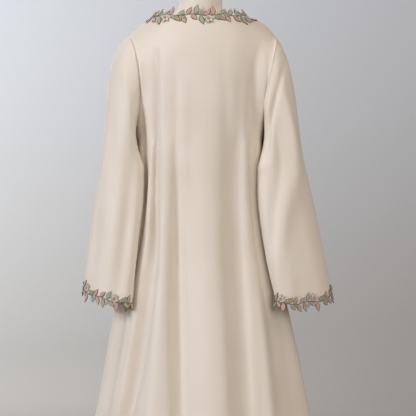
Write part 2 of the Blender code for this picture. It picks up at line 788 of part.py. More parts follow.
def turned(name, profile, steps, material):
    """Turned piece from a half profile of (radius, height), top to bottom."""
    mesh = bpy.data.meshes.new(name)
    mesh.from_pydata([(r, 0.0, z) for r, z in profile],
                     [(i, i + 1) for i in range(len(profile) - 1)], [])
    item = bpy.data.objects.new(name, mesh)
    COLLECTION.objects.link(item)
    screw = item.modifiers.new("turn", "SCREW")
    screw.steps = steps
    screw.render_steps = steps
    screw.use_merge_vertices = True
    screw.merge_threshold = 0.0001
    screw.use_smooth_shade = True
    item.data.materials.append(material)


def build_stand(metal):
    """Pole under the torso and the round base it stands in."""
    turned("form_pole", ((0.0, POLE_TOP), (POLE_RADIUS, POLE_TOP),
                         (POLE_RADIUS, COLLAR_TOP + SEAM_GAP),
                         (0.0, COLLAR_TOP + SEAM_GAP)), POLE_SIDES, metal)
    turned("form_base", ((0.0, COLLAR_TOP), (COLLAR_RADIUS, COLLAR_TOP),
                         (COLLAR_RADIUS + 0.2 * COLLAR_FLARE, BASE_TOP + 0.4 * COLLAR_FLARE),
                         (COLLAR_RADIUS + COLLAR_FLARE, BASE_TOP),
                         (BASE_FALL_RADIUS, BASE_TOP - BASE_FALL),
                         (BASE_RADIUS - BASE_SHOULDER, BASE_EDGE),
                         (BASE_RADIUS, BASE_EDGE - BASE_SHOULDER),
                         (BASE_RADIUS, 0.0), (0.0, 0.0)), BASE_SIDES, metal)


def main():
    """Build the cloak, its trims and the form it rests on."""
    clear_scene()
    cloth = make_material("cream_crepe", (0.78, 0.70, 0.60), 0.62)
    vine = make_material("embroidery", (0.46, 0.44, 0.34), 0.70)
    linen = make_material("form_linen", (0.86, 0.82, 0.74), 0.85)
    metal = make_material("stand_metal", (0.62, 0.60, 0.57), 0.40, 0.8)

    half = panel_bearings(front=False)
    back_bearings = [-b for b in reversed(half[1:])] + half
    back = build_panel("back", back_bearings, False, cloth)
    half = panel_bearings(front=True)
    right = build_panel("front_right", half[::-1], True, cloth)
    left = build_panel("front_left", [-b for b in half], True, cloth)

    sleeve_left = build_sleeve("sleeve_left", SLEEVE_LEFT, SLEEVE_FOLDS_LEFT,
                               CUFF_LEFT, -1.0, cloth)
    sleeve_right = build_sleeve("sleeve_right", SLEEVE_RIGHT, SLEEVE_FOLDS_RIGHT,
                                CUFF_RIGHT, 1.0, cloth)

    middle = len(back) // 2
    neck = (left[:NECK_COLUMNS] + back[middle - NECK_COLUMNS:middle + NECK_COLUMNS + 1]
            + right[-NECK_COLUMNS:])
    build_vine("vine_neck", [column[0] for column in neck], False,
               skin_tree((left, back, right), wrap=False), vine)
    for name, sleeve in (("vine_cuff_left", sleeve_left), ("vine_cuff_right", sleeve_right)):
        build_vine(name, [column[-1] for column in sleeve], True,
                   skin_tree((sleeve,), wrap=True), vine)
    build_form_torso(linen)
    build_stand(metal)


main()
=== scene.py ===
"""Looks of an open-front abaya cloak with leaf-vine trims, on a limbless dress form.

Metres, +Z up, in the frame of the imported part: the back of the cloak faces -Y.
Bearings are degrees round the body: 0 at the centre back, 90 at the side seam on
+X, -90 at the side seam on -X and 180 at the centre front.
"""

from math import asin, atan2, cos, degrees, exp, pi, radians, sin

import bpy
import numpy as np
from bpy.props import FloatProperty, FloatVectorProperty, IntProperty, PointerProperty
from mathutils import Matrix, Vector
from mathutils.bvhtree import BVHTree


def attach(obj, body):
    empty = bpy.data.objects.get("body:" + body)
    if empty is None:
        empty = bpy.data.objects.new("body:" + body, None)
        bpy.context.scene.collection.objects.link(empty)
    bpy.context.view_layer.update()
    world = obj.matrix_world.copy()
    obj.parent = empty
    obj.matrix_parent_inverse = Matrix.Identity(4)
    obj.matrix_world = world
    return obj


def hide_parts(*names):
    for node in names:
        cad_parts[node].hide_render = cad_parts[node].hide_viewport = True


bl_info = {
    "name": "Abaya on a dress form",
    "version": (1, 0, 0),
    "blender": (4, 5, 0),
    "location": "View3D > Sidebar > Abaya",
    "description": "Builds a cream abaya cloak with leaf-vine trims on a dress form",
    "category": "Object",
}

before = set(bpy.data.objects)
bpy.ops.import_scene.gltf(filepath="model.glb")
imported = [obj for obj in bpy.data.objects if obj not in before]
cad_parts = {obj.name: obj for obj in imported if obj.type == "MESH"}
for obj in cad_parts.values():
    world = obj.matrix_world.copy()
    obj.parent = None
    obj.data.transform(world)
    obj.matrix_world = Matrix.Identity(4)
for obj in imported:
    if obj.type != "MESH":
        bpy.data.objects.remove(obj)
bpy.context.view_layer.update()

# Cut and fit, as in the part
NECK_HALF = 0.130
NECK_SIDE_Z = 1.453
RIDGE_Y = 0.008
SHOULDER_FALL_LEFT = 1.20
SHOULDER_FALL_RIGHT = 1.90
ARMHOLE_MID_Z = 1.285
ARMHOLE_HALF_HEIGHT = 0.120
ARMHOLE_HALF_DEPTH = 0.078
HEM_Z = 0.060
YOKE_Z = 1.120
SLEEVE_Z = 1.060
SEAM_GAP = 0.0003
SLEEVE_CLEAR = 0.0060
CUFF_CLEAR = 0.0150
FRONT_GAP_NECK = 0.004
FRONT_GAP_HEM = 0.030
NECK_BEARING = 38.0
SHOULDER_BEARING = 52.0
SIDE_BEARING = 90.0
JUST_PAST = 0.000001

# Body of the cloak: height, half width, depth behind the middle, depth before it,
# sideways shift
BODY_LEVELS = (
    (0.060, 0.340, 0.250, 0.252, 0.009),
    (0.300, 0.299, 0.214, 0.218, 0.009),
    (0.520, 0.259, 0.180, 0.186, 0.008),
    (0.700, 0.224, 0.152, 0.160, 0.004),
    (0.860, 0.187, 0.130, 0.140, 0.002),
    (1.000, 0.166, 0.117, 0.130, 0.000),
    (1.120, 0.161, 0.113, 0.127, 0.000),
)

# Long folds: bearing at the yoke, bearing at the hem, half spread at the yoke, half
# spread at the hem (degrees), height at the yoke, height at the hem (metres)
FOLDS = (
    (-68.0, -80.0, 6.0, 7.5, 0.0030, 0.0110),
    (-58.0, -70.0, 5.0, 6.0, -0.0070, -0.0150),
    (-49.0, -61.0, 4.5, 6.0, 0.0045, 0.0090),
    (-42.0, -51.0, 4.0, 6.0, -0.0030, -0.0190),
    (-29.0, -24.0, 6.0, 9.0, 0.0060, 0.0180),
    (-16.0, -7.0, 6.0, 6.5, -0.0050, -0.0150),
    (11.0, 7.5, 9.0, 6.5, 0.0050, 0.0140),
    (36.0, 22.0, 6.5, 6.5, -0.0075, -0.0190),
    (47.5, 33.0, 4.0, 4.5, 0.0060, 0.0150),
    (57.0, 49.0, 5.0, 7.5, -0.0085, -0.0160),
    (68.0, 70.0, 5.5, 8.0, 0.0040, 0.0150),
    (104.0, 106.0, 6.0, 8.0, -0.0040, -0.0150),
    (118.0, 122.0, 6.0, 7.0, 0.0040, 0.0140),
    (133.0, 139.0, 5.5, 6.5, -0.0030, -0.0130),
    (147.0, 155.0, 6.0, 7.0, 0.0035, 0.0120),
    (-104.0, -101.0, 6.0, 7.0, -0.0040, -0.0120),
    (-118.0, -118.0, 6.0, 8.0, 0.0040, 0.0150),
    (-134.0, -136.0, 6.0, 6.5, -0.0040, -0.0150),
    (-149.0, -153.0, 5.5, 7.5, 0.0030, 0.0130),
)

# Neckline: bearing, across, back to front, height, and the direction in which the
# cloth leaves the edge (outwards, backwards, down)
NECK_BACK = (
    (0.0, 0.000, -0.074, 1.4560, 0.00, 0.50, 0.86),
    (14.0, 0.052, -0.068, 1.4562, 0.10, 0.55, 0.82),
    (25.0, 0.095, -0.049, 1.4560, 0.13, 0.74, 0.68),
    (32.0, 0.119, -0.023, 1.4550, 0.10, 0.95, 0.48),
    (38.0, 0.130, 0.008, 1.4530, 0.05, 1.20, 0.30),
)
NECK_FRONT = (
    (142.0, 0.130, 0.008, 1.4530, 0.05, -1.20, 0.30),
    (148.0, 0.125, 0.038, 1.4410, 0.10, -0.93, 0.48),
    (157.0, 0.102, 0.071, 1.4160, 0.12, -0.66, 0.72),
    (168.0, 0.056, 0.098, 1.3860, 0.08, -0.42, 0.90),
    (180.0, 0.000, 0.106, 1.3740, 0.00, -0.32, 0.95),
)

# Way the cloth leaves the shoulder seam at its neck end and at its arm end
# (outwards, backwards, down)
SHOULDER_LEAVE = (
    (0.05, 1.20, 0.30),
    (-0.73, 1.30, -0.03),
)
YOKE_LEAD = 0.82
YOKE_ARRIVE = 0.90
RUN_ON = 0.020

# Armhole seams, a row for each place: turn from the shoulder point (0) by the back
# (90) to the underarm (180), how far out the seam lies, and how strongly the
# panel's cloth leaves it inwards, backwards and down
ARMHOLE_LEFT = (
    (0.0, 0.189, 0.73, 1.30, -0.03),
    (30.0, 0.176, 0.50, 0.83, 0.06),
    (70.0, 0.161, 0.31, 0.80, 0.69),
    (110.0, 0.158, 0.12, 0.30, 0.77),
    (150.0, 0.163, 0.15, -0.12, 1.20),
    (180.0, 0.170, 0.00, 0.00, 0.95),
)
ARMHOLE_RIGHT = (
    (0.0, 0.197, 0.73, 1.30, -0.03),
    (30.0, 0.197, 0.50, 0.83, 0.06),
    (70.0, 0.184, 0.31, 0.80, 0.69),
    (110.0, 0.166, 0.12, 0.30, 0.77),
    (150.0, 0.163, 0.15, -0.12, 1.20),
    (180.0, 0.170, 0.00, 0.00, 0.95),
)

# Sleeves: height, outer edge, inner edge, middle back to front, half depth, turn of
# the flat section (degrees)
SLEEVE_LEFT = (
    (0.740, 0.299, 0.170, -0.070, 0.038, 31.0),
    (0.820, 0.291, 0.162, -0.060, 0.040, 30.0),
    (0.902, 0.280, 0.153, -0.049, 0.042, 28.0),
    (0.980, 0.270, 0.144, -0.039, 0.046, 26.0),
    (1.060, 0.256, 0.138, -0.028, 0.052, 22.0),
)
SLEEVE_RIGHT = (
    (0.740, 0.336, 0.190, -0.062, 0.040, 30.0),
    (0.820, 0.321, 0.173, -0.055, 0.042, 29.0),
    (0.902, 0.305, 0.159, -0.046, 0.043, 28.0),
    (0.980, 0.289, 0.147, -0.037, 0.047, 26.0),
    (1.060, 0.270, 0.141, -0.028, 0.053, 22.0),
)
SLEEVE_ROUND = 0.80
SLEEVE_OUT = 0.10
SLEEVE_OUT_TOP_LEFT = 1.02
SLEEVE_OUT_TOP_RIGHT = 0.54
SLEEVE_BULGE = 0.26
SLEEVE_DOWN = 0.85
SLEEVE_LEAD = 0.80
SLEEVE_ARRIVE = 0.90

# Cuff edge: middle height, how much higher the outer side is, how much lower the
# back is
CUFF_LEFT = (0.742, 0.020, 0.006)
CUFF_RIGHT = (0.740, 0.012, 0.016)

# Sleeve folds: turn at the armhole, turn at the cuff, half spread (degrees), height
# at the armhole, height at the cuff
FOLD_TURN = 0.35
SLEEVE_FOLDS_LEFT = (
    (62.0, 58.0, 13.0, -0.0020, -0.0020),
    (100.0, 92.0, 15.0, 0.0030, 0.0040),
    (140.0, 128.0, 12.0, -0.0025, -0.0045),
    (232.0, 238.0, 15.0, 0.0000, -0.0040),
    (285.0, 292.0, 16.0, 0.0020, 0.0035),
)
SLEEVE_FOLDS_RIGHT = (
    (24.0, 168.0, 11.0, 0.0070, 0.0020),
    (52.0, 196.0, 10.0, -0.0050, -0.0015),
    (70.0, 66.0, 14.0, 0.0020, 0.0040),
    (112.0, 106.0, 13.0, -0.0020, -0.0040),
    (235.0, 240.0, 15.0, 0.0000, -0.0040),
    (290.0, 286.0, 16.0, 0.0020, 0.0030),
)

# Soft creases. Each runs through three places (across, height), in
# centimetres as seen from behind or, for the front, as seen through the cloak, with
# its half width and its depth in millimetres (troughs below nought).
BACK_CREASES = (
    (-16.4, 130.0, -14.9, 118.0, -14.3, 98.0, 6.5, -7.0),
    (-14.4, 112.0, -14.4, 94.0, -15.6, 72.0, 7.0, -5.0),
    (-13.2, 122.0, -13.0, 102.0, -13.6, 82.0, 6.0, 3.0),
    (-11.3, 136.0, -11.6, 110.0, -12.2, 82.0, 5.5, -13.0),
    (-12.0, 96.0, -14.2, 66.0, -20.2, 36.0, 9.0, -20.0),
    (-14.4, 86.0, -16.8, 64.0, -22.8, 34.0, 8.0, 9.0),
    (-20.6, 44.0, -24.0, 32.0, -26.8, 16.0, 11.0, -7.0),
    (-9.7, 130.0, -9.4, 95.0, -10.4, 62.0, 8.0, 4.0),
    (-10.6, 74.0, -11.6, 52.0, -15.0, 18.0, 14.0, 5.0),
    (-6.2, 133.0, -6.0, 108.0, -5.4, 80.0, 9.0, -7.5),
    (-5.8, 104.0, -5.4, 66.0, -4.2, 14.0, 14.0, -20.0),
    (-4.1, 128.0, -3.5, 86.0, -1.4, 22.0, 9.0, 3.4),
    (1.6, 126.0, 1.8, 90.0, 2.6, 42.0, 18.0, 2.6),
    (7.2, 130.0, 6.8, 108.0, 7.6, 76.0, 10.0, -2.4),
    (7.6, 92.0, 9.2, 66.0, 11.2, 14.0, 16.0, -9.0),
    (11.4, 130.0, 11.4, 100.0, 12.4, 74.0, 8.0, 3.6),
    (12.2, 82.0, 13.2, 60.0, 15.0, 18.0, 9.0, 4.6),
    (13.8, 134.0, 13.6, 112.0, 14.2, 84.0, 7.0, -5.0),
    (19.4, 74.0, 22.4, 54.0, 24.6, 26.0, 9.0, -2.2),
    (15.6, 139.0, 14.6, 133.0, 13.6, 124.0, 8.0, -2.6),
    (-11.4, 137.0, -11.4, 131.0, -11.4, 122.0, 6.0, -2.2),
    (-3.4, 141.0, -3.0, 134.0, -3.6, 127.0, 14.0, -0.9),
    (5.6, 137.0, 6.0, 130.0, 6.6, 118.0, 10.0, -1.6),
    (24.6, 50.0, 26.4, 34.0, 28.6, 14.0, 12.0, -2.4),
    (-26.0, 54.0, -28.4, 38.0, -30.6, 16.0, 12.0, -2.6),
)
FRONT_CREASES = (
    (-14.4, 124.0, -13.8, 100.0, -15.4, 74.0, 8.0, -3.2),
    (-11.4, 130.0, -10.8, 104.0, -12.2, 70.0, 9.0, 2.0),
    (-7.4, 126.0, -7.2, 96.0, -9.2, 52.0, 12.0, -2.8),
    (-3.6, 110.0, -3.8, 80.0, -4.6, 30.0, 11.0, 1.8),
    (3.8, 116.0, 4.2, 84.0, 4.8, 34.0, 12.0, 1.6),
    (7.0, 130.0, 7.4, 98.0, 9.8, 46.0, 13.0, -2.8),
    (11.2, 126.0, 11.4, 98.0, 13.4, 64.0, 8.0, 2.2),
    (14.0, 122.0, 13.8, 96.0, 16.4, 68.0, 8.0, -3.2),
    (-14.0, 70.0, -17.2, 46.0, -21.0, 16.0, 13.0, -3.6),
    (15.4, 64.0, 19.0, 42.0, 22.8, 14.0, 13.0, -3.4),
    (-24.0, 50.0, -26.8, 34.0, -29.0, 14.0, 12.0, 2.4),
    (24.8, 52.0, 27.0, 34.0, 29.0, 14.0, 12.0, 2.4),
    (14.2, 138.0, 12.4, 131.0, 11.6, 122.0, 8.0, -1.8),
    (-14.2, 138.0, -12.6, 131.0, -11.8, 123.0, 8.0, -1.8),
)
LEFT_CREASES = (
    (-17.4, 136.0, -15.9, 124.0, -15.0, 110.0, 6.0, -4.6),
    (-19.4, 136.0, -18.2, 122.0, -16.2, 106.0, 8.0, 3.4),
    (-22.8, 128.0, -22.4, 112.0, -22.6, 96.0, 13.0, -3.0),
    (-18.4, 110.0, -18.6, 94.0, -19.8, 77.0, 12.0, -5.0),
    (-21.4, 98.0, -22.6, 88.0, -23.6, 76.0, 12.0, 3.0),
    (-25.6, 96.0, -26.6, 86.0, -27.6, 77.0, 10.0, -2.6),
)
RIGHT_CREASES = (
    (21.4, 139.0, 17.8, 127.0, 15.6, 106.0, 4.5, 8.0),
    (17.6, 134.0, 16.2, 124.0, 15.0, 110.0, 4.0, -8.0),
    (22.6, 136.0, 19.2, 124.0, 16.8, 108.0, 4.5, -7.0),
    (25.4, 128.0, 24.0, 114.0, 22.6, 98.0, 14.0, 1.6),
    (17.6, 106.0, 18.8, 92.0, 21.4, 77.0, 10.0, -2.6),
    (20.6, 104.0, 22.4, 90.0, 25.0, 76.0, 13.0, 1.8),
    (26.4, 108.0, 29.2, 92.0, 31.4, 78.0, 13.0, -2.0),
)

# Dress form: height, half width, depth behind, depth before
FORM_LEVELS = (
    (0.800, 0.146, 0.094, 0.086),
    (0.806, 0.152, 0.100, 0.090),
    (0.880, 0.156, 0.103, 0.094),
    (0.960, 0.143, 0.092, 0.090),
    (1.060, 0.118, 0.074, 0.086),
    (1.140, 0.129, 0.080, 0.099),
    (1.220, 0.142, 0.088, 0.109),
    (1.300, 0.150, 0.092, 0.100),
    (1.350, 0.164, 0.088, 0.086),
    (1.385, 0.172, 0.071, 0.064),
    (1.402, 0.171, 0.062, 0.056),
    (1.420, 0.163, 0.057, 0.052),
    (1.436, 0.146, 0.057, 0.048),
    (1.448, 0.116, 0.061, 0.046),
    (1.458, 0.084, 0.058, 0.048),
    (1.468, 0.067, 0.057, 0.052),
    (1.484, 0.058, 0.056, 0.052),
    (1.526, 0.056, 0.055, 0.052),
    (1.533, 0.052, 0.051, 0.048),
)
FORM_SHIFT_Y = 0.006
FORM_SEAMS = (0.0, 34.0, 90.0, 146.0, 180.0, 214.0, 270.0, 326.0)
FORM_NECK_LINES = (1.4775, 1.4860)
FORM_SEAM_SPREAD = 1.6
FORM_LINE_SPREAD = 0.0011

# Vine trims
TRIM_GAP = 0.0006
STEM_WAVE = 0.0024
STEM_WAVE_LENGTH = 0.075
LEAF_PITCH = 0.0108
VINE_START = 0.004
VINE_END = 0.016
FRAME_REACH = 0.010
EDGE_TRY = 0.004

# One stretch of the vine at its even places: side (1 on the cloth, -1 beyond its
# edge), length, width, lean from the stem (degrees), thread colour
LEAVES = (
    (1, 0.0230, 0.0138, 46.0, "rose"),
    (-1, 0.0300, 0.0150, 80.0, "sage"),
    (1, 0.0290, 0.0136, 72.0, "sage"),
    (-1, 0.0215, 0.0130, 40.0, "rose"),
    (1, 0.0190, 0.0140, 84.0, "rose"),
    (-1, 0.0285, 0.0152, 88.0, "rose"),
    (1, 0.0260, 0.0130, 42.0, "olive"),
    (-1, 0.0230, 0.0122, 50.0, "sage"),
    (1, 0.0240, 0.0144, 68.0, "rose"),
    (-1, 0.0265, 0.0140, 64.0, "rose"),
)

# Sprigs between them: after which even place, shift along, shift off the stem, side,
# length, width, lean, thread colour
SPRIGS = (
    (0, 0.0056, 0.0010, -1, 0.0165, 0.0090, 30.0, "olive"),
    (2, 0.0060, 0.0012, -1, 0.0180, 0.0086, 106.0, "sage"),
    (3, 0.0040, 0.0014, 1, 0.0250, 0.0120, 20.0, "cream"),
    (3, 0.0044, 0.0018, 1, 0.0265, 0.0128, 48.0, "cream"),
    (3, 0.0048, 0.0020, 1, 0.0235, 0.0118, 76.0, "cream"),
    (3, 0.0050, 0.0040, 1, 0.0110, 0.0052, 36.0, "rose"),
    (3, 0.0052, 0.0044, 1, 0.0115, 0.0050, 60.0, "rose"),
    (5, 0.0058, 0.0008, 1, 0.0170, 0.0088, 60.0, "sage"),
    (7, 0.0056, 0.0010, 1, 0.0165, 0.0080, 30.0, "sage"),
    (8, 0.0050, 0.0010, -1, 0.0150, 0.0078, 110.0, "olive"),
)
SPRIG_LIFT = 0.0005
LEAF_FOOT = 0.12
VEIN_SPREAD = 0.16
VEIN_DEPTH = 0.45
LEAF_SCALE = {"vine_neck": 1.0, "vine_cuff_left": 0.84, "vine_cuff_right": 0.84}

# Fineness of the surfaces
PANEL_COLUMNS = {"neck": 26, "shoulder": 10, "armhole": 34}
YOKE_ROWS = 34
YOKE_ROW_POWER = 1.25
BODY_ROWS = 84
SLEEVE_COLUMNS = 112
SLEEVE_HEAD_ROWS = 40
SLEEVE_ROWS = 46
FORM_COLUMNS = 96
FORM_ROW_HEIGHT = 0.004
LEAF_STATIONS = 9
LEAF_ACROSS = 6
STEM_SIDES = 7
SWEEP_STEPS = 24
CLOTH_SHARP = 60.0
VINE_SHARP = 70.0
FORM_SHARP = 50.0

# Easing of the yoke: passes, and the rows and columns over which it fades at the top,
# at the foot and at each side
YOKE_EASE = 90
EASE_TOP_ROWS = 8.0
EASE_FOOT_ROWS = 6.0
EASE_SIDE_COLUMNS = 12.0

# Creases: stretches of each line, rows over which they fade in at the top, and how
# fast they fade where the cloth turns to the side
CREASE_STEPS = 12
CREASE_TOP_ROWS = 10
CREASE_FACING = 1.6

# Threads: colour of a leaf's outline, of its middle and of its vein
THREADS = {
    "rose": ((0.30, 0.115, 0.10), (0.74, 0.52, 0.41), (0.34, 0.13, 0.11)),
    "sage": ((0.12, 0.15, 0.09), (0.56, 0.57, 0.41), (0.13, 0.19, 0.13)),
    "olive": ((0.19, 0.135, 0.06), (0.56, 0.48, 0.29), (0.20, 0.145, 0.07)),
    "cream": ((0.42, 0.27, 0.21), (0.86, 0.82, 0.74), (0.50, 0.29, 0.24)),
}

# Lights: name, place, the point it is aimed at, size, colour
LIGHTS = (
    ("key", (-4.15, -2.85, 3.1), (0.0, 0.0, 0.9), 1.6, (0.95, 1.0, 1.07)),
    ("front", (2.6, -4.7, 2.5), (0.0, 0.0, 0.9), 3.0, (1.0, 0.94, 0.87)),
    ("top", (1.5, -1.5, 4.0), (0.1, 0.0, 1.25), 2.2, (1.0, 0.98, 0.96)),
    ("open_side", (-1.6, 5.0, 3.0), (0.0, 0.0, 0.8), 3.0, (1.0, 0.97, 0.93)),
    ("wall", (-4.2, 4.5, 5.0), (-1.6, 12.5, 3.0), 2.6, (0.94, 1.0, 1.08)),
)
FILL_COLOUR = (1.0, 0.80, 0.61, 1.0)

# View from behind: width shown at the cloth's face, place of its centre, and how far
# that face lies behind the middle
VIEW_SPAN = 1.065
VIEW_CENTRE = (0.020, 0.963)
FACE_DEPTH = 0.060
SENSOR_WIDTH = 36.0


# Shape of the cloak

def table_at(rows, key):
    """Values of a table's row at a key, on a smooth curve through its rows."""
    last = len(rows) - 1
    place = 0
    while place < last - 1 and key > rows[place + 1][0]:
        place += 1
    low = rows[place]
    high = rows[place + 1]
    before = rows[max(place - 1, 0)]
    after = rows[min(place + 2, last)]
    span = high[0] - low[0]
    t = min(max((key - low[0]) / span, 0.0), 1.0)
    values = []
    for column in range(1, len(low)):
        slope_low = (high[column] - before[column]) / (high[0] - before[0])
        slope_high = (after[column] - low[column]) / (after[0] - low[0])
        values.append(hermite(low[column], slope_low * span,
                              high[column], slope_high * span, t))
    return values


def hermite(start, leave, end, arrive, t):
    """Cubic from start to end with the given end slopes."""
    return (start * (2 * t ** 3 - 3 * t ** 2 + 1) + leave * (t ** 3 - 2 * t ** 2 + t)
            + end * (3 * t ** 2 - 2 * t ** 3) + arrive * (t ** 3 - t ** 2))


def hump(distance, spread):
    """Rounded rise of one fold across its spread."""
    return exp(-0.5 * (distance / spread) ** 2)


def fold_height(bearing, z):
    """How far the long folds move the cloth out at a bearing and height."""
    down = min(max((YOKE_Z - z) / (YOKE_Z - HEM_Z), 0.0), 1.0)
    total = 0.0
    for at_yoke, at_hem, wide_yoke, wide_hem, high_yoke, high_hem in FOLDS:
        centre = at_yoke + (at_hem - at_yoke) * down ** 0.8
        spread = wide_yoke + (wide_hem - wide_yoke) * down
        height = high_yoke + (high_hem - high_yoke) * down
        total += height * hump(bearing - centre, spread)
    return total


def body_point(bearing, z):
    """Outer side of the cloak's body below the yoke."""
    half_width, behind, before, shift = table_at(BODY_LEVELS, z)
    across = sin(radians(bearing)) * half_width
    depth = behind if abs(bearing) <= SIDE_BEARING else before
    back = -cos(radians(bearing)) * depth
    reach = (across ** 2 + back ** 2) ** 0.5
    scale = 1.0 + fold_height(bearing, z) / reach
    return Vector((shift + across * scale, back * scale, z))


def armhole_point(turn, side):
    """One side's armhole seam, placed on +X; turn 0 is the shoulder point."""
    out = armhole_row(turn, side)[0]
    return Vector((out,
                   RIDGE_Y - ARMHOLE_HALF_DEPTH * sin(radians(turn)),
                   ARMHOLE_MID_Z + ARMHOLE_HALF_HEIGHT * cos(radians(turn))))


def armhole_row(turn, side):
    """Values of one side's armhole table at a turn from the shoulder."""
    return table_at(ARMHOLE_RIGHT if side > 0 else ARMHOLE_LEFT, min(turn, 360.0 - turn))


def armhole_leave(turn, side):
    """Direction in which a panel's cloth leaves the armhole seam, on +X."""
    inward, behind, down = armhole_row(turn, side)[1:]
    return Vector((-inward, -behind, -down))


def top_edge(bearing, side):
    """Point of one side's top edge, placed on +X, and how the cloth leaves it."""
    back = bearing <= SIDE_BEARING
    angle = bearing if back else 180.0 - bearing
    facing = 1.0 if back else -1.0
    if angle <= NECK_BEARING:
        out, behind, high, lead_x, lead_y, lead_z = table_at(
            NECK_BACK if back else NECK_FRONT, bearing)
        return Vector((out, behind, high)), Vector((lead_x, -lead_y, -lead_z))
    if angle <= SHOULDER_BEARING:
        along = (angle - NECK_BEARING) / (SHOULDER_BEARING - NECK_BEARING)
        arm_end = armhole_point(0.0, side)
        fall = SHOULDER_FALL_RIGHT if side > 0 else SHOULDER_FALL_LEFT
        point = Vector((NECK_HALF + (arm_end.x - NECK_HALF) * along,
                        RIDGE_Y,
                        NECK_SIDE_Z + (arm_end.z - NECK_SIDE_Z) * along ** fall))
        lead = Vector(SHOULDER_LEAVE[0]).lerp(Vector(SHOULDER_LEAVE[1]), along)
        return point, Vector((lead.x, -lead.y * facing, -lead.z))
    turn = 180.0 * (angle - SHOULDER_BEARING) / (SIDE_BEARING - SHOULDER_BEARING)
    point = armhole_point(turn, side)
    lead = armhole_leave(turn, side)
    if not back:
        point.y = 2.0 * RIDGE_Y - point.y
        lead.y = -lead.y
    return point, lead


def front_edge_half_gap(z):
    """Half the gap between the two fronts at a height."""
    down = (NECK_SIDE_Z - z) / (NECK_SIDE_Z - HEM_Z)
    return 0.5 * (FRONT_GAP_NECK + (FRONT_GAP_HEM - FRONT_GAP_NECK) * down)


def trimmed_bearing(bearing, z):
    """A bearing drawn in from the side seam and from the fronts' open edge."""
    half_width, behind = table_at(BODY_LEVELS, z)[:2]
    size = abs(bearing)
    if size == SIDE_BEARING:
        size = SIDE_BEARING - degrees(SEAM_GAP / 2.0 / behind)
    elif size > SIDE_BEARING:
        seam = SIDE_BEARING + degrees(SEAM_GAP / 2.0 / behind)
        edge = 180.0 - degrees(asin(front_edge_half_gap(z) / half_width))
        along = (size - SIDE_BEARING) / (180.0 - SIDE_BEARING)
        size = seam + (edge - seam) * along
    return size if bearing >= 0 else -size


def panel_column(bearing, front, yoke_steps, body_heights):
    """Outer points of one column of a panel, from its top edge to the hem."""
    sign = 1.0 if bearing >= 0 else -1.0
    size = abs(bearing)
    if front and size == SIDE_BEARING:
        size += JUST_PAST
    start, lead = top_edge(size, sign)
    end = body_point(trimmed_bearing(sign * size, YOKE_Z), YOKE_Z)
    below = body_point(trimmed_bearing(sign * size, YOKE_Z - RUN_ON), YOKE_Z - RUN_ON)
    if front:
        start.x = max(start.x, front_edge_half_gap(start.z))
        start.y += SEAM_GAP / 2.0
    else:
        start.y -= SEAM_GAP / 2.0
    start.x *= sign
    lead = Vector((lead.x * sign, lead.y, lead.z))
    length = (end - start).length
    arrive = (below - end).normalized() * length * YOKE_ARRIVE
    column = [hermite(start, lead * length * YOKE_LEAD, end, arrive, step)
              for step in yoke_steps]
    column += [body_point(trimmed_bearing(sign * size, z), z) for z in body_heights]
    return column


def rounded(value):
    """Cosine or sine of a section that is fuller than an oval."""
    return (1.0 if value >= 0.0 else -1.0) * abs(value) ** SLEEVE_ROUND


def sleeve_section(table, folds, turn, z):
    """Outer side of a sleeve on +X at a turn and height, before it is cleared."""
    outer, inner, middle_y, half_depth, tilt = table_at(table, z)
    lean = radians(tilt)
    reach = (0.25 * (outer - inner) ** 2 - (half_depth * sin(lean)) ** 2) ** 0.5
    half_width = reach / cos(lean)
    along = Vector((cos(lean), sin(lean), 0.0))
    behind = Vector((sin(lean), -cos(lean), 0.0))
    down = (SLEEVE_Z - z) / (SLEEVE_Z - table[0][0])
    rise = 0.0
    for at_head, at_cuff, spread, high_head, high_cuff in folds:
        centre = at_head + (at_cuff - at_head) * (FOLD_TURN + (1.0 - FOLD_TURN) * down)
        away = (turn - centre + 180.0) % 360.0 - 180.0
        rise += (high_head + (high_cuff - high_head) * down) * hump(away, spread)
    middle = Vector((0.5 * (outer + inner), middle_y, z))
    return (middle + along * (half_width + rise) * rounded(cos(radians(turn)))
            + behind * (half_depth + rise) * rounded(sin(radians(turn))))


def clear_of_body(point):
    """Move a sleeve's point out until it is clear of the body's cloth."""
    z = min(point.z, YOKE_Z)
    half_width, behind, before, shift = table_at(BODY_LEVELS, z)
    across = point.x - shift
    depth = behind if point.y <= 0.0 else before
    bearing = degrees(atan2(across / half_width, -point.y / depth))
    body = body_point(bearing, z)
    down = min(max((SLEEVE_Z - z) / (SLEEVE_Z - CUFF_LEFT[0]), 0.0), 1.0)
    clear = SLEEVE_CLEAR + (CUFF_CLEAR - SLEEVE_CLEAR) * down
    limit = ((body.x - shift) ** 2 + body.y ** 2) ** 0.5 + clear
    scale = max(limit / (across ** 2 + point.y ** 2) ** 0.5, 1.0)
    return Vector((shift + across * scale, point.y * scale, point.z))


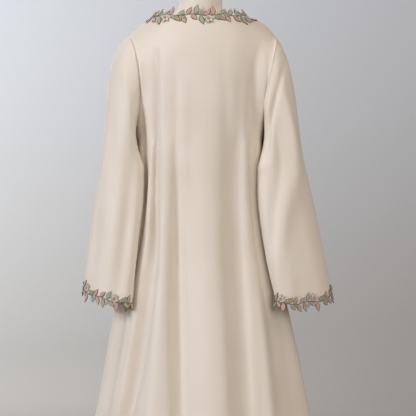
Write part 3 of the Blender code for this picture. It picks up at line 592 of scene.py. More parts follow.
def sleeve_column(table, folds, cuff, turn, side):
    """Outer points of one column of a sleeve, from the armhole to the cuff."""
    start = armhole_point(turn, side)
    start.x += SEAM_GAP
    end = sleeve_section(table, folds, turn, SLEEVE_Z)
    below = sleeve_section(table, folds, turn, SLEEVE_Z - RUN_ON)
    length = (end - start).length
    upper = 0.5 + 0.5 * cos(radians(turn))
    swell = SLEEVE_OUT_TOP_RIGHT if side > 0 else SLEEVE_OUT_TOP_LEFT
    lead = Vector((SLEEVE_OUT + swell * upper, -SLEEVE_BULGE * sin(radians(turn)),
                   -SLEEVE_DOWN)).normalized()
    arrive = (below - end).normalized() * length * SLEEVE_ARRIVE
    column = [hermite(start, lead * length * SLEEVE_LEAD, end, arrive,
                      row / SLEEVE_HEAD_ROWS) for row in range(SLEEVE_HEAD_ROWS)]
    middle, outer_rise, back_dip = cuff
    edge = middle + outer_rise * cos(radians(turn)) - back_dip * sin(radians(turn))
    for row in range(SLEEVE_ROWS + 1):
        z = SLEEVE_Z + (edge - SLEEVE_Z) * row / SLEEVE_ROWS
        column.append(sleeve_section(table, folds, turn, z))
    placed = [Vector((side * p.x, p.y, p.z)) for p in column]
    return placed[:1] + [clear_of_body(p) for p in placed[1:]]


def panel_bearings(front):
    """Bearings of the columns from the middle out to the side seam."""
    stretches = ((0.0, NECK_BEARING, PANEL_COLUMNS["neck"]),
                 (NECK_BEARING, SHOULDER_BEARING, PANEL_COLUMNS["shoulder"]),
                 (SHOULDER_BEARING, SIDE_BEARING, PANEL_COLUMNS["armhole"]))
    angles = [0.0]
    for low, high, count in stretches:
        angles += [low + (high - low) * (i + 1) / count for i in range(count)]
    if front:
        return [180.0 - angle for angle in angles]
    return angles


def linked(name, data):
    """Object of some data, linked to the scene."""
    item = bpy.data.objects.new(name, data)
    bpy.context.scene.collection.objects.link(item)
    return item


# Thin cloth shells

def grid_normals(grid, wrap):
    """Outward direction at each point of a grid of columns."""
    if wrap:
        across = np.roll(grid, -1, axis=0) - np.roll(grid, 1, axis=0)
    else:
        across = np.gradient(grid, axis=0)
    down = np.gradient(grid, axis=1)
    normals = np.cross(down, across)
    return normals / np.linalg.norm(normals, axis=2, keepdims=True)


def crease_depths(grid, creases):
    """Depth of the soft creases over a grid of points."""
    depth = np.zeros(grid.shape[:2])
    place = grid[:, :, [0, 2]]
    turns = np.linspace(0.0, 1.0, CREASE_STEPS + 1)[:, None]
    for x0, z0, x1, z1, x2, z2, half_width, height in creases:
        start, middle, end = (np.array(p) * 0.01 for p in ((x0, z0), (x1, z1), (x2, z2)))
        best = np.full(depth.shape, np.inf)
        along = np.zeros(depth.shape)
        line = (start * (1.0 - turns) * (1.0 - 2.0 * turns)
                + middle * 4.0 * turns * (1.0 - turns) + end * turns * (2.0 * turns - 1.0))
        for i, (a, b) in enumerate(zip(line, line[1:])):
            run = b - a
            share = np.clip(((place - a) @ run) / (run @ run), 0.0, 1.0)
            gap = np.linalg.norm(place - a - share[:, :, None] * run, axis=2)
            near = gap < best
            best[near] = gap[near]
            along[near] = (i + share[near]) / CREASE_STEPS
        end_fade = np.sin(pi * np.clip(0.04 + 0.92 * along, 0.0, 1.0)) ** 0.7
        depth += 0.001 * height * end_fade * np.exp(-0.5 * (best / (0.001 * half_width)) ** 2)
    return depth


def arc_lengths(grid, axis):
    """Distance along a grid's lines at each of its points."""
    steps = np.linalg.norm(np.diff(grid, axis=axis), axis=2)
    start = np.zeros_like(np.take(steps, [0], axis=axis))
    return np.concatenate([start, np.cumsum(steps, axis=axis)], axis=axis)


def shell_object(name, grid, wrap, thickness):
    """Thin closed shell under a grid of outer points, with its cut in its UV map."""
    normals = grid_normals(grid, wrap)
    outer = grid.reshape(-1, 3)
    inner = (grid - normals * thickness).reshape(-1, 3)
    count, rows = grid.shape[:2]
    total = count * rows
    columns = count if wrap else count - 1
    i = np.arange(columns)[:, None] * rows
    j = np.arange(rows - 1)[None, :]
    a = (i + j).ravel()
    b = ((i + rows) % total + j).ravel()
    faces = [np.stack([a, a + 1, b + 1, b], 1),
             np.stack([a, b, b + 1, a + 1], 1) + total]
    rim = np.arange(columns) * rows
    top, top_next = rim, (rim + rows) % total
    low, low_next = rim + rows - 1, (rim + rows) % total + rows - 1
    faces.append(np.stack([top, top_next, top_next + total, top + total], 1))
    faces.append(np.stack([low, low + total, low_next + total, low_next], 1))
    if not wrap:
        side = np.arange(rows - 1)
        last = side + total - rows
        faces.append(np.stack([side, side + total, side + total + 1, side + 1], 1))
        faces.append(np.stack([last, last + 1, last + total + 1, last + total], 1))
    faces = np.concatenate(faces)
    mesh = bpy.data.meshes.new(name)
    mesh.from_pydata(np.concatenate([outer, inner]).tolist(), [], faces.tolist())
    closed = np.concatenate([grid, grid[:1]]) if wrap else grid
    across = arc_lengths(closed, 0)
    down = arc_lengths(closed, 1)
    middle = across[across.shape[0] // 2][None, :]
    places = np.stack([across - middle, -down], 2)
    flat = places[:count].reshape(-1, 2)
    uv = mesh.uv_layers.new(name="cut")
    corner = faces.ravel() % total
    coordinates = flat[corner]
    if wrap:
        quads = corner.reshape(-1, 4)
        seam = (quads.min(1) < rows) & (quads.max(1) >= total - rows)
        mask = np.repeat(seam, 4) & (corner < rows)
        coordinates[mask] = places[count][corner[mask]]
    uv.data.foreach_set("uv", coordinates.ravel())
    mesh.validate()
    mesh.shade_smooth()
    mesh.set_sharp_from_angle(angle=radians(CLOTH_SHARP))
    return linked(name, mesh)


def creased(grid, behind, before, wrap, strength):
    """A grid of outer points with its soft creases pressed in."""
    normals = grid_normals(grid, wrap)
    facing = normals[:, :, 1]
    depth = (crease_depths(grid, behind) * np.clip(-CREASE_FACING * facing, 0.0, 1.0)
             + crease_depths(grid, before) * np.clip(CREASE_FACING * facing, 0.0, 1.0))
    fade = np.ones(grid.shape[1])
    fade[:CREASE_TOP_ROWS] = np.linspace(0.0, 1.0, CREASE_TOP_ROWS) ** 2
    return grid + normals * (depth * fade[None, :] * strength)[:, :, None]


def eased_yoke(grid):
    """A panel's grid with the kink below the neckline's ends eased out."""
    place = np.arange(1, len(grid) - 1)
    reach = np.minimum(place, len(grid) - 1 - place) / EASE_SIDE_COLUMNS
    reach = np.minimum(reach, 1.0)[:, None]
    for _ in range(YOKE_EASE):
        for row in range(2, YOKE_ROWS):
            share = (0.5 * min(row / EASE_TOP_ROWS, 1.0)
                     * min((YOKE_ROWS - row) / EASE_FOOT_ROWS, 1.0))
            line = grid[:, row].copy()
            evened = 0.5 * (line[:-2] + line[2:])
            blend = share * reach
            grid[1:-1, row] = line[1:-1] * (1.0 - blend) + evened * blend
    return grid


def panel_grid(bearings, front, strength):
    """Outer points of a body panel with its folds and creases."""
    steps = [(row / YOKE_ROWS) ** YOKE_ROW_POWER for row in range(YOKE_ROWS)]
    heights = [YOKE_Z + (HEM_Z - YOKE_Z) * row / BODY_ROWS for row in range(BODY_ROWS + 1)]
    grid = np.array([[tuple(p) for p in panel_column(b, front, steps, heights)]
                     for b in bearings])
    return creased(eased_yoke(grid), BACK_CREASES, FRONT_CREASES, False, strength)


def sleeve_grid(table, folds, cuff, side, creases, strength):
    """Outer points of a sleeve with its folds and creases."""
    turns = [360.0 * i / SLEEVE_COLUMNS for i in range(SLEEVE_COLUMNS)]
    if side > 0:
        turns.reverse()
    grid = np.array([[tuple(p) for p in sleeve_column(table, folds, cuff, turn, side)]
                     for turn in turns])
    return creased(grid, creases, creases[1:], True, strength)


def surface_tree(grids):
    """Search tree over some grids of points."""
    points = []
    faces = []
    for grid, wrap in grids:
        base = len(points)
        count, rows = grid.shape[:2]
        points += [Vector(p) for p in grid.reshape(-1, 3)]
        for i in range(count if wrap else count - 1):
            k = (i + 1) % count
            for j in range(rows - 1):
                a, b = base + i * rows + j, base + k * rows + j
                faces.append((a, a + 1, b + 1, b))
    return BVHTree.FromPolygons(points, faces)


# Shader nodes

class Wire:
    """A node's output, with arithmetic that adds Math nodes."""

    def __init__(self, nodes, socket):
        self.nodes = nodes
        self.socket = socket

    def math(self, operation, *values):
        return self.nodes.add("ShaderNodeMath", {"operation": operation}, *values)

    def __add__(self, other):
        return self.math("ADD", self, other)

    __radd__ = __add__

    def __sub__(self, other):
        return self.math("SUBTRACT", self, other)

    def __rsub__(self, other):
        return self.math("SUBTRACT", other, self)

    def __mul__(self, other):
        return self.math("MULTIPLY", self, other)

    __rmul__ = __mul__

    def __abs__(self):
        return self.math("ABSOLUTE", self)

    def sine(self):
        return self.math("SINE", self)


class Nodes:
    """Node builder for one material."""

    def __init__(self, name):
        self.material = bpy.data.materials.new(name)
        self.material.use_nodes = True
        self.tree = self.material.node_tree
        self.shader = self.tree.nodes["Principled BSDF"]

    def add(self, kind, settings, *values, output=0, **named):
        """Add a node with its settings, then its socket values or links."""
        node = self.tree.nodes.new(kind)
        for key, value in settings.items():
            setattr(node, key, value)
        for index, value in enumerate(values):
            self.fill(node.inputs[index], value)
        for key, value in named.items():
            self.fill(node.inputs[key.replace("_", " ")], value)
        return Wire(self, node.outputs[output])

    def fill(self, socket, value):
        """Set a socket's value or link a wire to it."""
        if isinstance(value, Wire):
            self.tree.links.new(value.socket, socket)
        else:
            socket.default_value = value

    def coordinates(self, source):
        """Object or UV coordinates."""
        return self.add("ShaderNodeTexCoord", {}, output=source)

    def noise(self, place, scale, detail=3.0):
        """Soft noise from 0 to 1."""
        return self.add("ShaderNodeTexNoise", {}, Vector=place, Scale=scale, Detail=detail)

    def mix(self, factor, low, high):
        """Blend of two colours by a factor."""
        node = self.tree.nodes.new("ShaderNodeMix")
        node.data_type = "RGBA"
        self.fill(node.inputs["Factor"], factor)
        for socket, value in ((node.inputs[6], low), (node.inputs[7], high)):
            self.fill(socket, value if isinstance(value, Wire) else (*value, 1.0))
        return Wire(self, node.outputs[2])

    def smooth(self, value, low, high):
        """0 below low, 1 above high, smooth between them."""
        return self.add("ShaderNodeMapRange", {"interpolation_type": "SMOOTHSTEP"},
                        Value=value, From_Min=low, From_Max=high)

    def split(self, vector):
        """The three parts of a vector."""
        node = self.tree.nodes.new("ShaderNodeSeparateXYZ")
        self.fill(node.inputs[0], vector)
        return [Wire(self, output) for output in node.outputs]

    def bump(self, height, strength, distance):
        """Send a height to the shader's normal."""
        normal = self.add("ShaderNodeBump", {}, Height=height, Strength=strength,
                          Distance=distance)
        self.fill(self.shader.inputs["Normal"], normal)

    def finish(self, colour, roughness, **fixed):
        """Link the colour and the roughness, and set what is the same all over."""
        for name, value in (("Base Color", colour), ("Roughness", roughness)):
            self.fill(self.shader.inputs[name], value)
        for name, value in fixed.items():
            self.fill(self.shader.inputs[name.replace("_", " ")], value)
        return self.material


def cloth_material(settings):
    """Cream crepe with a soft satin sheen."""
    nodes = Nodes("cream_crepe")
    cut = nodes.coordinates("UV")
    place = nodes.coordinates("Object")
    warp, weft = nodes.split(cut)[:2]
    slub = nodes.noise(cut, 1400.0, 2.0)
    crepe = nodes.noise(cut, 620.0, 3.0)
    across = ((warp + weft) * 5200.0).sine()
    cloud = nodes.noise(place, 9.0, 2.0)
    drift = nodes.noise(place, 2.2, 2.0)
    pale = tuple(settings.colour)
    deep = tuple(c * k for c, k in zip(pale, (0.965, 0.950, 0.925)))
    colour = nodes.mix(nodes.smooth(cloud * 0.5 + drift * 0.5, 0.35, 0.65), pale, deep)
    fine = nodes.mix(slub * 0.05, colour, (0.55, 0.45, 0.35))
    nodes.bump(crepe * 0.7 + slub * 0.4 + across * 0.12, 0.22, 0.0004)
    roughness = nodes.smooth(crepe, 0.2, 0.8) * 0.10 + settings.roughness
    return nodes.finish(fine, roughness, Sheen_Weight=0.25, Sheen_Roughness=0.45,
                        Specular_IOR_Level=0.35)


def thread_material(name, edge, middle, vein):
    """Satin stitch of one colour: a darker outline, a pale middle and a vein."""
    nodes = Nodes(name)
    across, along = nodes.split(nodes.coordinates("UV"))[:2]
    side = abs(across)
    wander = nodes.noise(nodes.coordinates("Object"), 900.0, 2.0)
    outline = nodes.smooth(side + wander * 0.16, 0.62, 0.86)
    ends = nodes.smooth(along + wander * 0.06, 0.80, 0.98)
    rib = nodes.smooth(side + wander * 0.05, 0.16, 0.07)
    colour = nodes.mix(outline, middle, edge)
    colour = nodes.mix(ends, colour, edge)
    colour = nodes.mix(rib * 0.8, colour, vein)
    threads = ((along + side * 0.28) * 190.0).sine()
    # Painted shade: a darker tone where the threads dip, in the grooves between the stitches
    thread_groove_shade = nodes.mix(nodes.smooth(threads, -1.0, 0.4), tuple(c * 0.72 for c in edge), colour)
    tone = nodes.mix(wander * 0.5, colour, thread_groove_shade)
    nodes.bump(threads * 0.5 + wander * 0.5, 0.55, 0.0005)
    return nodes.finish(tone, wander * 0.15 + 0.38, Sheen_Weight=0.15,
                        Specular_IOR_Level=0.45)


def stem_material(settings):
    """Twisted stem cord, with painted shade in the grooves of its twist."""
    nodes = Nodes("stem_cord")
    turn, along = nodes.split(nodes.coordinates("UV"))[:2]
    twist = (along * 4200.0 + turn * 6.2832).sine()
    wander = nodes.noise(nodes.coordinates("Object"), 160.0, 2.0)
    base = tuple(settings.stem)
    # Painted shade: a darker tone laid in the grooves of the twist, where the bump sinks
    twist_groove_shade = tuple(c * 0.55 for c in base)
    warm = (base[0] * 1.25, base[1], base[2] * 0.72)
    colour = nodes.mix(nodes.smooth(wander, 0.42, 0.62), base, warm)
    colour = nodes.mix(nodes.smooth(twist, 0.3, -1.0), colour, twist_groove_shade)
    nodes.bump(twist, 0.6, 0.0004)
    return nodes.finish(colour, 0.45, Sheen_Weight=0.1)


def linen_material(settings):
    """Plain linen cover of the form."""
    nodes = Nodes("form_linen")
    place = nodes.coordinates("Object")
    x, y, z = nodes.split(place)
    warp = (z * 7400.0).sine()
    weft = ((x + y) * 5200.0).sine()
    slub = nodes.noise(place, 420.0, 3.0)
    cloud = nodes.noise(place, 14.0, 2.0)
    pale = tuple(settings.linen)
    deep = tuple(c * k for c, k in zip(pale, (0.94, 0.92, 0.88)))
    colour = nodes.mix(nodes.smooth(cloud, 0.35, 0.7), pale, deep)
    colour = nodes.mix(nodes.smooth(slub, 0.62, 0.75) * 0.35, colour,
                       tuple(c * 0.80 for c in pale))
    nodes.bump(warp * 0.35 + weft * 0.35 + slub * 0.6, 0.3, 0.0004)
    return nodes.finish(colour, 0.85, Sheen_Weight=0.1, Specular_IOR_Level=0.3)


def metal_material(settings):
    """Brushed steel with a satin lacquer."""
    nodes = Nodes("brushed_steel")
    place = nodes.coordinates("Object")
    x, y, z = nodes.split(place)
    radius = nodes.add("ShaderNodeVectorMath", {"operation": "LENGTH"},
                       nodes.add("ShaderNodeCombineXYZ", {}, x, y), output=1)
    rings = nodes.add("ShaderNodeCombineXYZ", {}, radius * 900.0, z * 900.0)
    brushed = nodes.noise(rings, 1.0, 2.0)
    cloud = nodes.noise(place, 12.0, 3.0)
    tone = tuple(settings.metal)
    colour = nodes.mix(nodes.smooth(brushed, 0.3, 0.7), tone, tuple(c * 0.82 for c in tone))
    roughness = cloud * 0.16 + 0.26
    nodes.bump(brushed, 0.15, 0.0002)
    return nodes.finish(colour, roughness, Metallic=1.0)


def backdrop_material(name, left, right, low_left, low_right):
    """Pale studio paper with painted light and shade: darker to one side and warmer and
    darker below.
    """
    nodes = Nodes(name)
    place = nodes.split(nodes.coordinates("Object"))
    # Painted light and shade: the colour falls off to the right and towards the floor as the
    # light would
    side = nodes.smooth(place[0], -2.6, 2.6)
    above = nodes.mix(side, left, right)
    below = nodes.mix(side, low_left, low_right)
    colour = nodes.mix(nodes.smooth(place[2], -0.8, 3.2), below, above)
    return nodes.finish(colour, 0.9, Specular_IOR_Level=0.1)


# Vines

def line_lengths(points):
    """Distance along a line at each of its points."""
    lengths = [0.0]
    for a, b in zip(points, points[1:]):
        lengths.append(lengths[-1] + (b - a).length)
    return lengths


def read_line(points, lengths, distance):
    """Point and direction of a line at a distance along it."""
    place = 0
    while place < len(lengths) - 2 and distance > lengths[place + 1]:
        place += 1
    start, end = points[place], points[place + 1]
    share = (distance - lengths[place]) / (lengths[place + 1] - lengths[place])
    return start.lerp(end, share), (end - start).normalized()


class Edge:
    """An edge of the cloth that a vine follows."""

    def __init__(self, points, closed, tree):
        self.points = points + points[:1] if closed else points
        self.closed = closed
        self.tree = tree
        self.lengths = line_lengths(self.points)
        self.length = self.lengths[-1]

    def frame(self, distance):
        """Point of the edge, the cloth's outward side, and the way on to the cloth."""
        normal = Vector()
        tangent = Vector()
        for step in (-1.0, -0.5, 0.0, 0.5, 1.0):
            at = distance + step * FRAME_REACH
            at = at % self.length if self.closed else min(max(at, 0.0), self.length)
            point, direction = read_line(self.points, self.lengths, at)
            tangent += direction
            normal += self.tree.find_nearest(point)[1]
        at = distance % self.length if self.closed else distance
        base = read_line(self.points, self.lengths, at)[0]
        normal.normalize()
        inward = normal.cross(tangent).normalized()
        nearest = self.tree.find_nearest(base + inward * EDGE_TRY)[0]
        if (nearest - base).length < 0.75 * EDGE_TRY:
            inward = -inward
        return base, normal, inward

    def place(self, along, on):
        """Point over the cloth at a place of the flat plan, and its outward side."""
        base, normal, inward = self.frame(along)
        point = base + inward * on
        if on > 0.0:
            point, face_normal = self.tree.find_nearest(point)[:2]
            normal = (normal + face_normal).normalized()
        return point, normal


def leaf_half_width(t):
    """Half width of a leaf from its foot (0) to its tip (1), as a share."""
    return max(sin(pi * t ** 0.82), 0.0) ** 0.85


def add_leaf(edge, root, side, plan_size, lift, settings, store):
    """One domed leaf with a sunk vein, added to a store of points and faces."""
    size, width, lean = plan_size
    axis = Vector((cos(radians(lean)), side * sin(radians(lean))))
    cross = Vector((axis.y, -axis.x))
    points, faces, uvs = store
    base = len(points)
    stations = LEAF_STATIONS
    across = LEAF_ACROSS
    tops = []
    for i in range(stations + 1):
        t = i / stations
        half = (0.5 * width * (LEAF_FOOT + (1.0 - LEAF_FOOT) * leaf_half_width(t))
                * (1.0 - t ** 6))
        for j in range(across + 1):
            s = -1.0 + 2.0 * j / across
            plan = root + axis * size * t + cross * half * s
            point, normal = edge.place(plan.x, plan.y)
            dome = (1.0 - s * s) ** 0.5 * min(1.0, 4.0 * t * (1.0 - t) + 0.35)
            vein = exp(-(s / VEIN_SPREAD) ** 2) * VEIN_DEPTH
            low = TRIM_GAP + lift
            rise = low + settings.rim + settings.dome * (dome - vein) + settings.curl * t ** 3
            tops.append((point + normal * rise, point + normal * low, s, t))
    points += [top for top, _, _, _ in tops]
    points += [low for _, low, _, _ in tops]
    uvs += [(s, t) for _, _, s, t in tops] * 2
    row = across + 1
    total = len(tops)
    for i in range(stations):
        for j in range(across):
            a = base + i * row + j
            faces.append((a, a + 1, a + row + 1, a + row))
            faces.append((a + total, a + row + total, a + row + 1 + total, a + 1 + total))
        for a, b in ((base + i * row, base + (i + 1) * row),
                     (base + (i + 1) * row + across, base + i * row + across)):
            faces.append((a, b, b + total, a + total))
    for j in range(across):
        a = base + j
        b = base + stations * row + j
        faces.append((a + 1, a, a + total, a + 1 + total))
        faces.append((b, b + 1, b + 1 + total, b + total))


def stored_mesh(name, store, material):
    """Mesh object of stored points, faces and their flat places."""
    points, faces, uvs = store
    mesh = bpy.data.meshes.new(name)
    mesh.from_pydata([tuple(p) for p in points], [], faces)
    layer = mesh.uv_layers.new(name="cut")
    for loop in mesh.loops:
        layer.data[loop.index].uv = uvs[loop.vertex_index]
    mesh.shade_smooth()
    mesh.set_sharp_from_angle(angle=radians(VINE_SHARP))
    mesh.materials.append(material)
    return linked(name, mesh)


def stem_wave(edge, station):
    """How far the stem swings on to the cloth at a place along its edge."""
    waves = max(round(edge.length / STEM_WAVE_LENGTH), 1)
    return STEM_WAVE * sin(2.0 * pi * waves * station / edge.length)


def add_stem(edge, stations, settings, store):
    """Stem cord along the vine's wave."""
    points, faces, uvs = store
    base = len(points)
    sides = STEM_SIDES
    centres = []
    normals = []
    for station in stations:
        point, normal = edge.place(station, stem_wave(edge, station))
        centres.append(point + normal * (TRIM_GAP + settings.stem_radius))
        normals.append(normal)
    count = len(centres)
    run = 0.0
    for i, centre in enumerate(centres):
        after = centres[(i + 1) % count] if edge.closed else centres[min(i + 1, count - 1)]
        before = centres[i - 1] if edge.closed else centres[max(i - 1, 0)]
        tangent = (after - before).normalized()
        side = tangent.cross(normals[i]).normalized()
        up = side.cross(tangent)
        taper = 1.0 if edge.closed else min(1.0, 0.25 + 0.1 * min(i, count - 1 - i))
        if i:
            run += (centre - centres[i - 1]).length
        for k in range(sides):
            angle = 2.0 * pi * k / sides
            points.append(centre + (side * cos(angle) + up * sin(angle))
                          * settings.stem_radius * taper)
            uvs.append((k / sides, run))
    for i in range(count if edge.closed else count - 1):
        n = (i + 1) % count
        for k in range(sides):
            m = (k + 1) % sides
            faces.append((base + i * sides + k, base + i * sides + m,
                          base + n * sides + m, base + n * sides + k))
    if not edge.closed:
        faces.append([base + k for k in reversed(range(sides))])
        faces.append([base + (count - 1) * sides + k for k in range(sides)])


def build_vine(name, edge, settings, materials):
    """A vine's stem and leaves, a mesh for each thread colour, in place of its plain solid.
    """
    start = 0.0 if edge.closed else VINE_START
    run = edge.length if edge.closed else edge.length - VINE_START - VINE_END
    scale = LEAF_SCALE[name]
    count = 2 * int(0.5 * run / (LEAF_PITCH * scale))
    pitch = run / count
    stores = {key: ([], [], []) for key in materials}
    for i in range(count):
        side, size, width, lean, colour = LEAVES[i % len(LEAVES)]
        station = start + (i + 0.5) * pitch
        wave = stem_wave(edge, station)
        root = Vector((station, wave + side * settings.stem_radius))
        add_leaf(edge, root, side, (size * scale, width * scale, lean), 0.0, settings,
                 stores[colour])
        sprigs = [sprig for sprig in SPRIGS if sprig[0] == i % len(LEAVES)]
        for rank, (_, shift, off, side, size, width, lean, colour) in enumerate(sprigs):
            if not edge.closed and station + shift > edge.length - VINE_END:
                continue
            root = Vector((station + shift, wave + side * off))
            add_leaf(edge, root, side, (size * scale, width * scale, lean),
                     SPRIG_LIFT * (1 + rank), settings, stores[colour])
    fine = int(run / settings.stem_step)
    if edge.closed:
        stations = [edge.length * i / fine for i in range(fine)]
    else:
        first = 0.5 * VINE_START
        stations = [first + (edge.length - 0.5 * VINE_END - first) * i / fine
                    for i in range(fine + 1)]
    add_stem(edge, stations, settings, stores["stem"])
    pieces = [stored_mesh(f"{name}_{key}", store, materials[key])
              for key, store in stores.items() if store[0]]
    for piece in pieces:
        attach(piece, "root")
        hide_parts(name)
    return pieces


# Stitches

def stitch_nodes(material):
    """Node group that lays stitches along a line: spacing, length, size and seed."""
    group = bpy.data.node_groups.new("stitch_row", "GeometryNodeTree")
    face = group.interface
    face.new_socket("Geometry", in_out="INPUT", socket_type="NodeSocketGeometry")
    for name in ("Spacing", "Length", "Radius", "Wander"):
        face.new_socket(name, in_out="INPUT", socket_type="NodeSocketFloat")
    face.new_socket("Seed", in_out="INPUT", socket_type="NodeSocketInt")
    face.new_socket("Geometry", in_out="OUTPUT", socket_type="NodeSocketGeometry")
    nodes, links = group.nodes, group.links

    def add(kind, settings, **values):
        node = nodes.new(kind)
        for key, value in settings.items():
            setattr(node, key, value)
        for key, value in values.items():
            socket = node.inputs[key.replace("_", " ")]
            if isinstance(value, bpy.types.NodeSocket):
                links.new(value, socket)
            else:
                socket.default_value = value
        return node

    given = nodes.new("NodeGroupInput").outputs
    line = add("GeometryNodeMeshToCurve", {}, Mesh=given["Geometry"])
    places = add("GeometryNodeCurveToPoints", {"mode": "LENGTH"}, Curve=line.outputs["Curve"],
                 Length=given["Spacing"])
    turn = add("FunctionNodeAlignEulerToVector", {"axis": "Z"},
               Vector=places.outputs["Tangent"])
    thread = add("GeometryNodeMeshCylinder", {"fill_type": "TRIANGLE_FAN"}, Vertices=6,
                 Radius=given["Radius"], Depth=given["Length"])
    low = add("ShaderNodeMath", {"operation": "SUBTRACT"})
    low.inputs[0].default_value = 1.0
    links.new(given["Wander"], low.inputs[1])
    high = add("ShaderNodeMath", {"operation": "ADD"})
    high.inputs[0].default_value = 1.0
    links.new(given["Wander"], high.inputs[1])
    size = add("FunctionNodeRandomValue", {"data_type": "FLOAT"}, Seed=given["Seed"])
    links.new(low.outputs[0], size.inputs[2])
    links.new(high.outputs[0], size.inputs[3])
    rows = add("GeometryNodeInstanceOnPoints", {}, Points=places.outputs["Points"],
               Instance=thread.outputs["Mesh"], Rotation=turn.outputs["Rotation"])
    links.new(size.outputs[1], rows.inputs["Scale"])
    real = add("GeometryNodeRealizeInstances", {}, Geometry=rows.outputs["Instances"])
    finish = add("GeometryNodeSetMaterial", {}, Geometry=real.outputs["Geometry"],
                 Material=material)
    links.new(finish.outputs["Geometry"], nodes.new("NodeGroupOutput").inputs["Geometry"])
    return group


def stitch_row(name, points, closed, group, settings, seed):
    """One row of stitches along a line of points, as a plain mesh."""
    mesh = bpy.data.meshes.new(name)
    count = len(points)
    edges = [(i, (i + 1) % count) for i in range(count if closed else count - 1)]
    mesh.from_pydata([tuple(p) for p in points], edges, [])
    row = linked(name + "_line", mesh)
    modifier = row.modifiers.new("stitches", "NODES")
    modifier.node_group = group
    values = {"Spacing": settings.spacing, "Length": settings.length,
              "Radius": settings.radius, "Wander": settings.wander, "Seed": seed}
    for socket in group.interface.items_tree:
        if socket.in_out == "INPUT" and socket.name in values:
            modifier[socket.identifier] = values[socket.name]
    made = row.evaluated_get(bpy.context.evaluated_depsgraph_get())
    item = linked(name, bpy.data.meshes.new_from_object(made))
    row.modifiers.remove(modifier)
    bpy.data.objects.remove(row, do_unlink=True)
    item.data.shade_smooth()
    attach(item, "root")
    return item


def inset_line(grid, wrap, sideways, from_end, inset, lift):
    """Points a step in from one edge of a grid, just over its outer side."""
    lines, sides = grid, grid_normals(grid, wrap)
    if sideways:
        lines, sides = lines.transpose(1, 0, 2), sides.transpose(1, 0, 2)
    if from_end:
        lines, sides = lines[:, ::-1], sides[:, ::-1]
    lengths = arc_lengths(lines, 1)
    places = []
    for line, side, length in zip(lines, sides, lengths):
        k = int(np.searchsorted(length, inset))
        share = (inset - length[k - 1]) / (length[k] - length[k - 1])
        places.append(line[k - 1] + (line[k] - line[k - 1]) * share + side[k] * lift)
    return places


# Settings

class StitchSettings(bpy.types.PropertyGroup):
    """Rows of stitches."""

    spacing: FloatProperty(name="Spacing", description="Distance from stitch to stitch",
                           default=0.0034, unit="LENGTH", precision=4)
    length: FloatProperty(name="Length", description="Length of a stitch", default=0.0024,
                          unit="LENGTH", precision=4)
    radius: FloatProperty(name="Radius", description="Radius of the thread",
                          default=0.00022, unit="LENGTH", precision=5)
    wander: FloatProperty(name="Wander", description="Unevenness of the stitches",
                          default=0.12, min=0.0, max=0.5)
    inset: FloatProperty(name="Inset", description="Distance of a row from its edge",
                         default=0.018, unit="LENGTH", precision=4)


class ClothSettings(bpy.types.PropertyGroup):
    """Cloth of the cloak."""

    thickness: FloatProperty(name="Thickness", description="Thickness of the cloth",
                             default=0.0012, unit="LENGTH", precision=4)
    creases: FloatProperty(name="Creases", description="Strength of the soft creases",
                           default=1.0, min=0.0, max=2.0)
    colour: FloatVectorProperty(name="Colour", description="Colour of the cloth",
                                subtype="COLOR", size=3, default=(0.82, 0.745, 0.668))
    roughness: FloatProperty(name="Roughness", description="Lowest roughness of the cloth",
                             default=0.50, min=0.0, max=1.0)


class VineSettings(bpy.types.PropertyGroup):
    """Embroidered leaf-vine trims."""

    rim: FloatProperty(name="Rim", description="Height of a leaf's rim over its backing",
                       default=0.0006, unit="LENGTH", precision=4)
    dome: FloatProperty(name="Dome", description="Height of a leaf's padding",
                        default=0.0010, unit="LENGTH", precision=4)
    curl: FloatProperty(name="Curl", description="Lift of a leaf's tip",
                        default=0.0006, unit="LENGTH", precision=4)
    stem_radius: FloatProperty(name="Stem radius", description="Radius of the stem cord",
                               default=0.0010, unit="LENGTH", precision=4)
    stem_step: FloatProperty(name="Stem step", description="Spacing of the stem's rings",
                             default=0.0022, unit="LENGTH", precision=4)
    stem: FloatVectorProperty(name="Stem colour", description="Colour of the stem cord",
                              subtype="COLOR", size=3, default=(0.16, 0.23, 0.18))


class FormSettings(bpy.types.PropertyGroup):
    """Dress form and its stand."""

    linen: FloatVectorProperty(name="Linen", description="Colour of the form's cover",
                               subtype="COLOR", size=3, default=(0.88, 0.83, 0.755))
    metal: FloatVectorProperty(name="Metal", description="Colour of the stand",
                               subtype="COLOR", size=3, default=(0.58, 0.56, 0.53))
    seam_depth: FloatProperty(name="Seam depth", description="Depth of the form's seams",
                              default=0.0008, unit="LENGTH", precision=4)


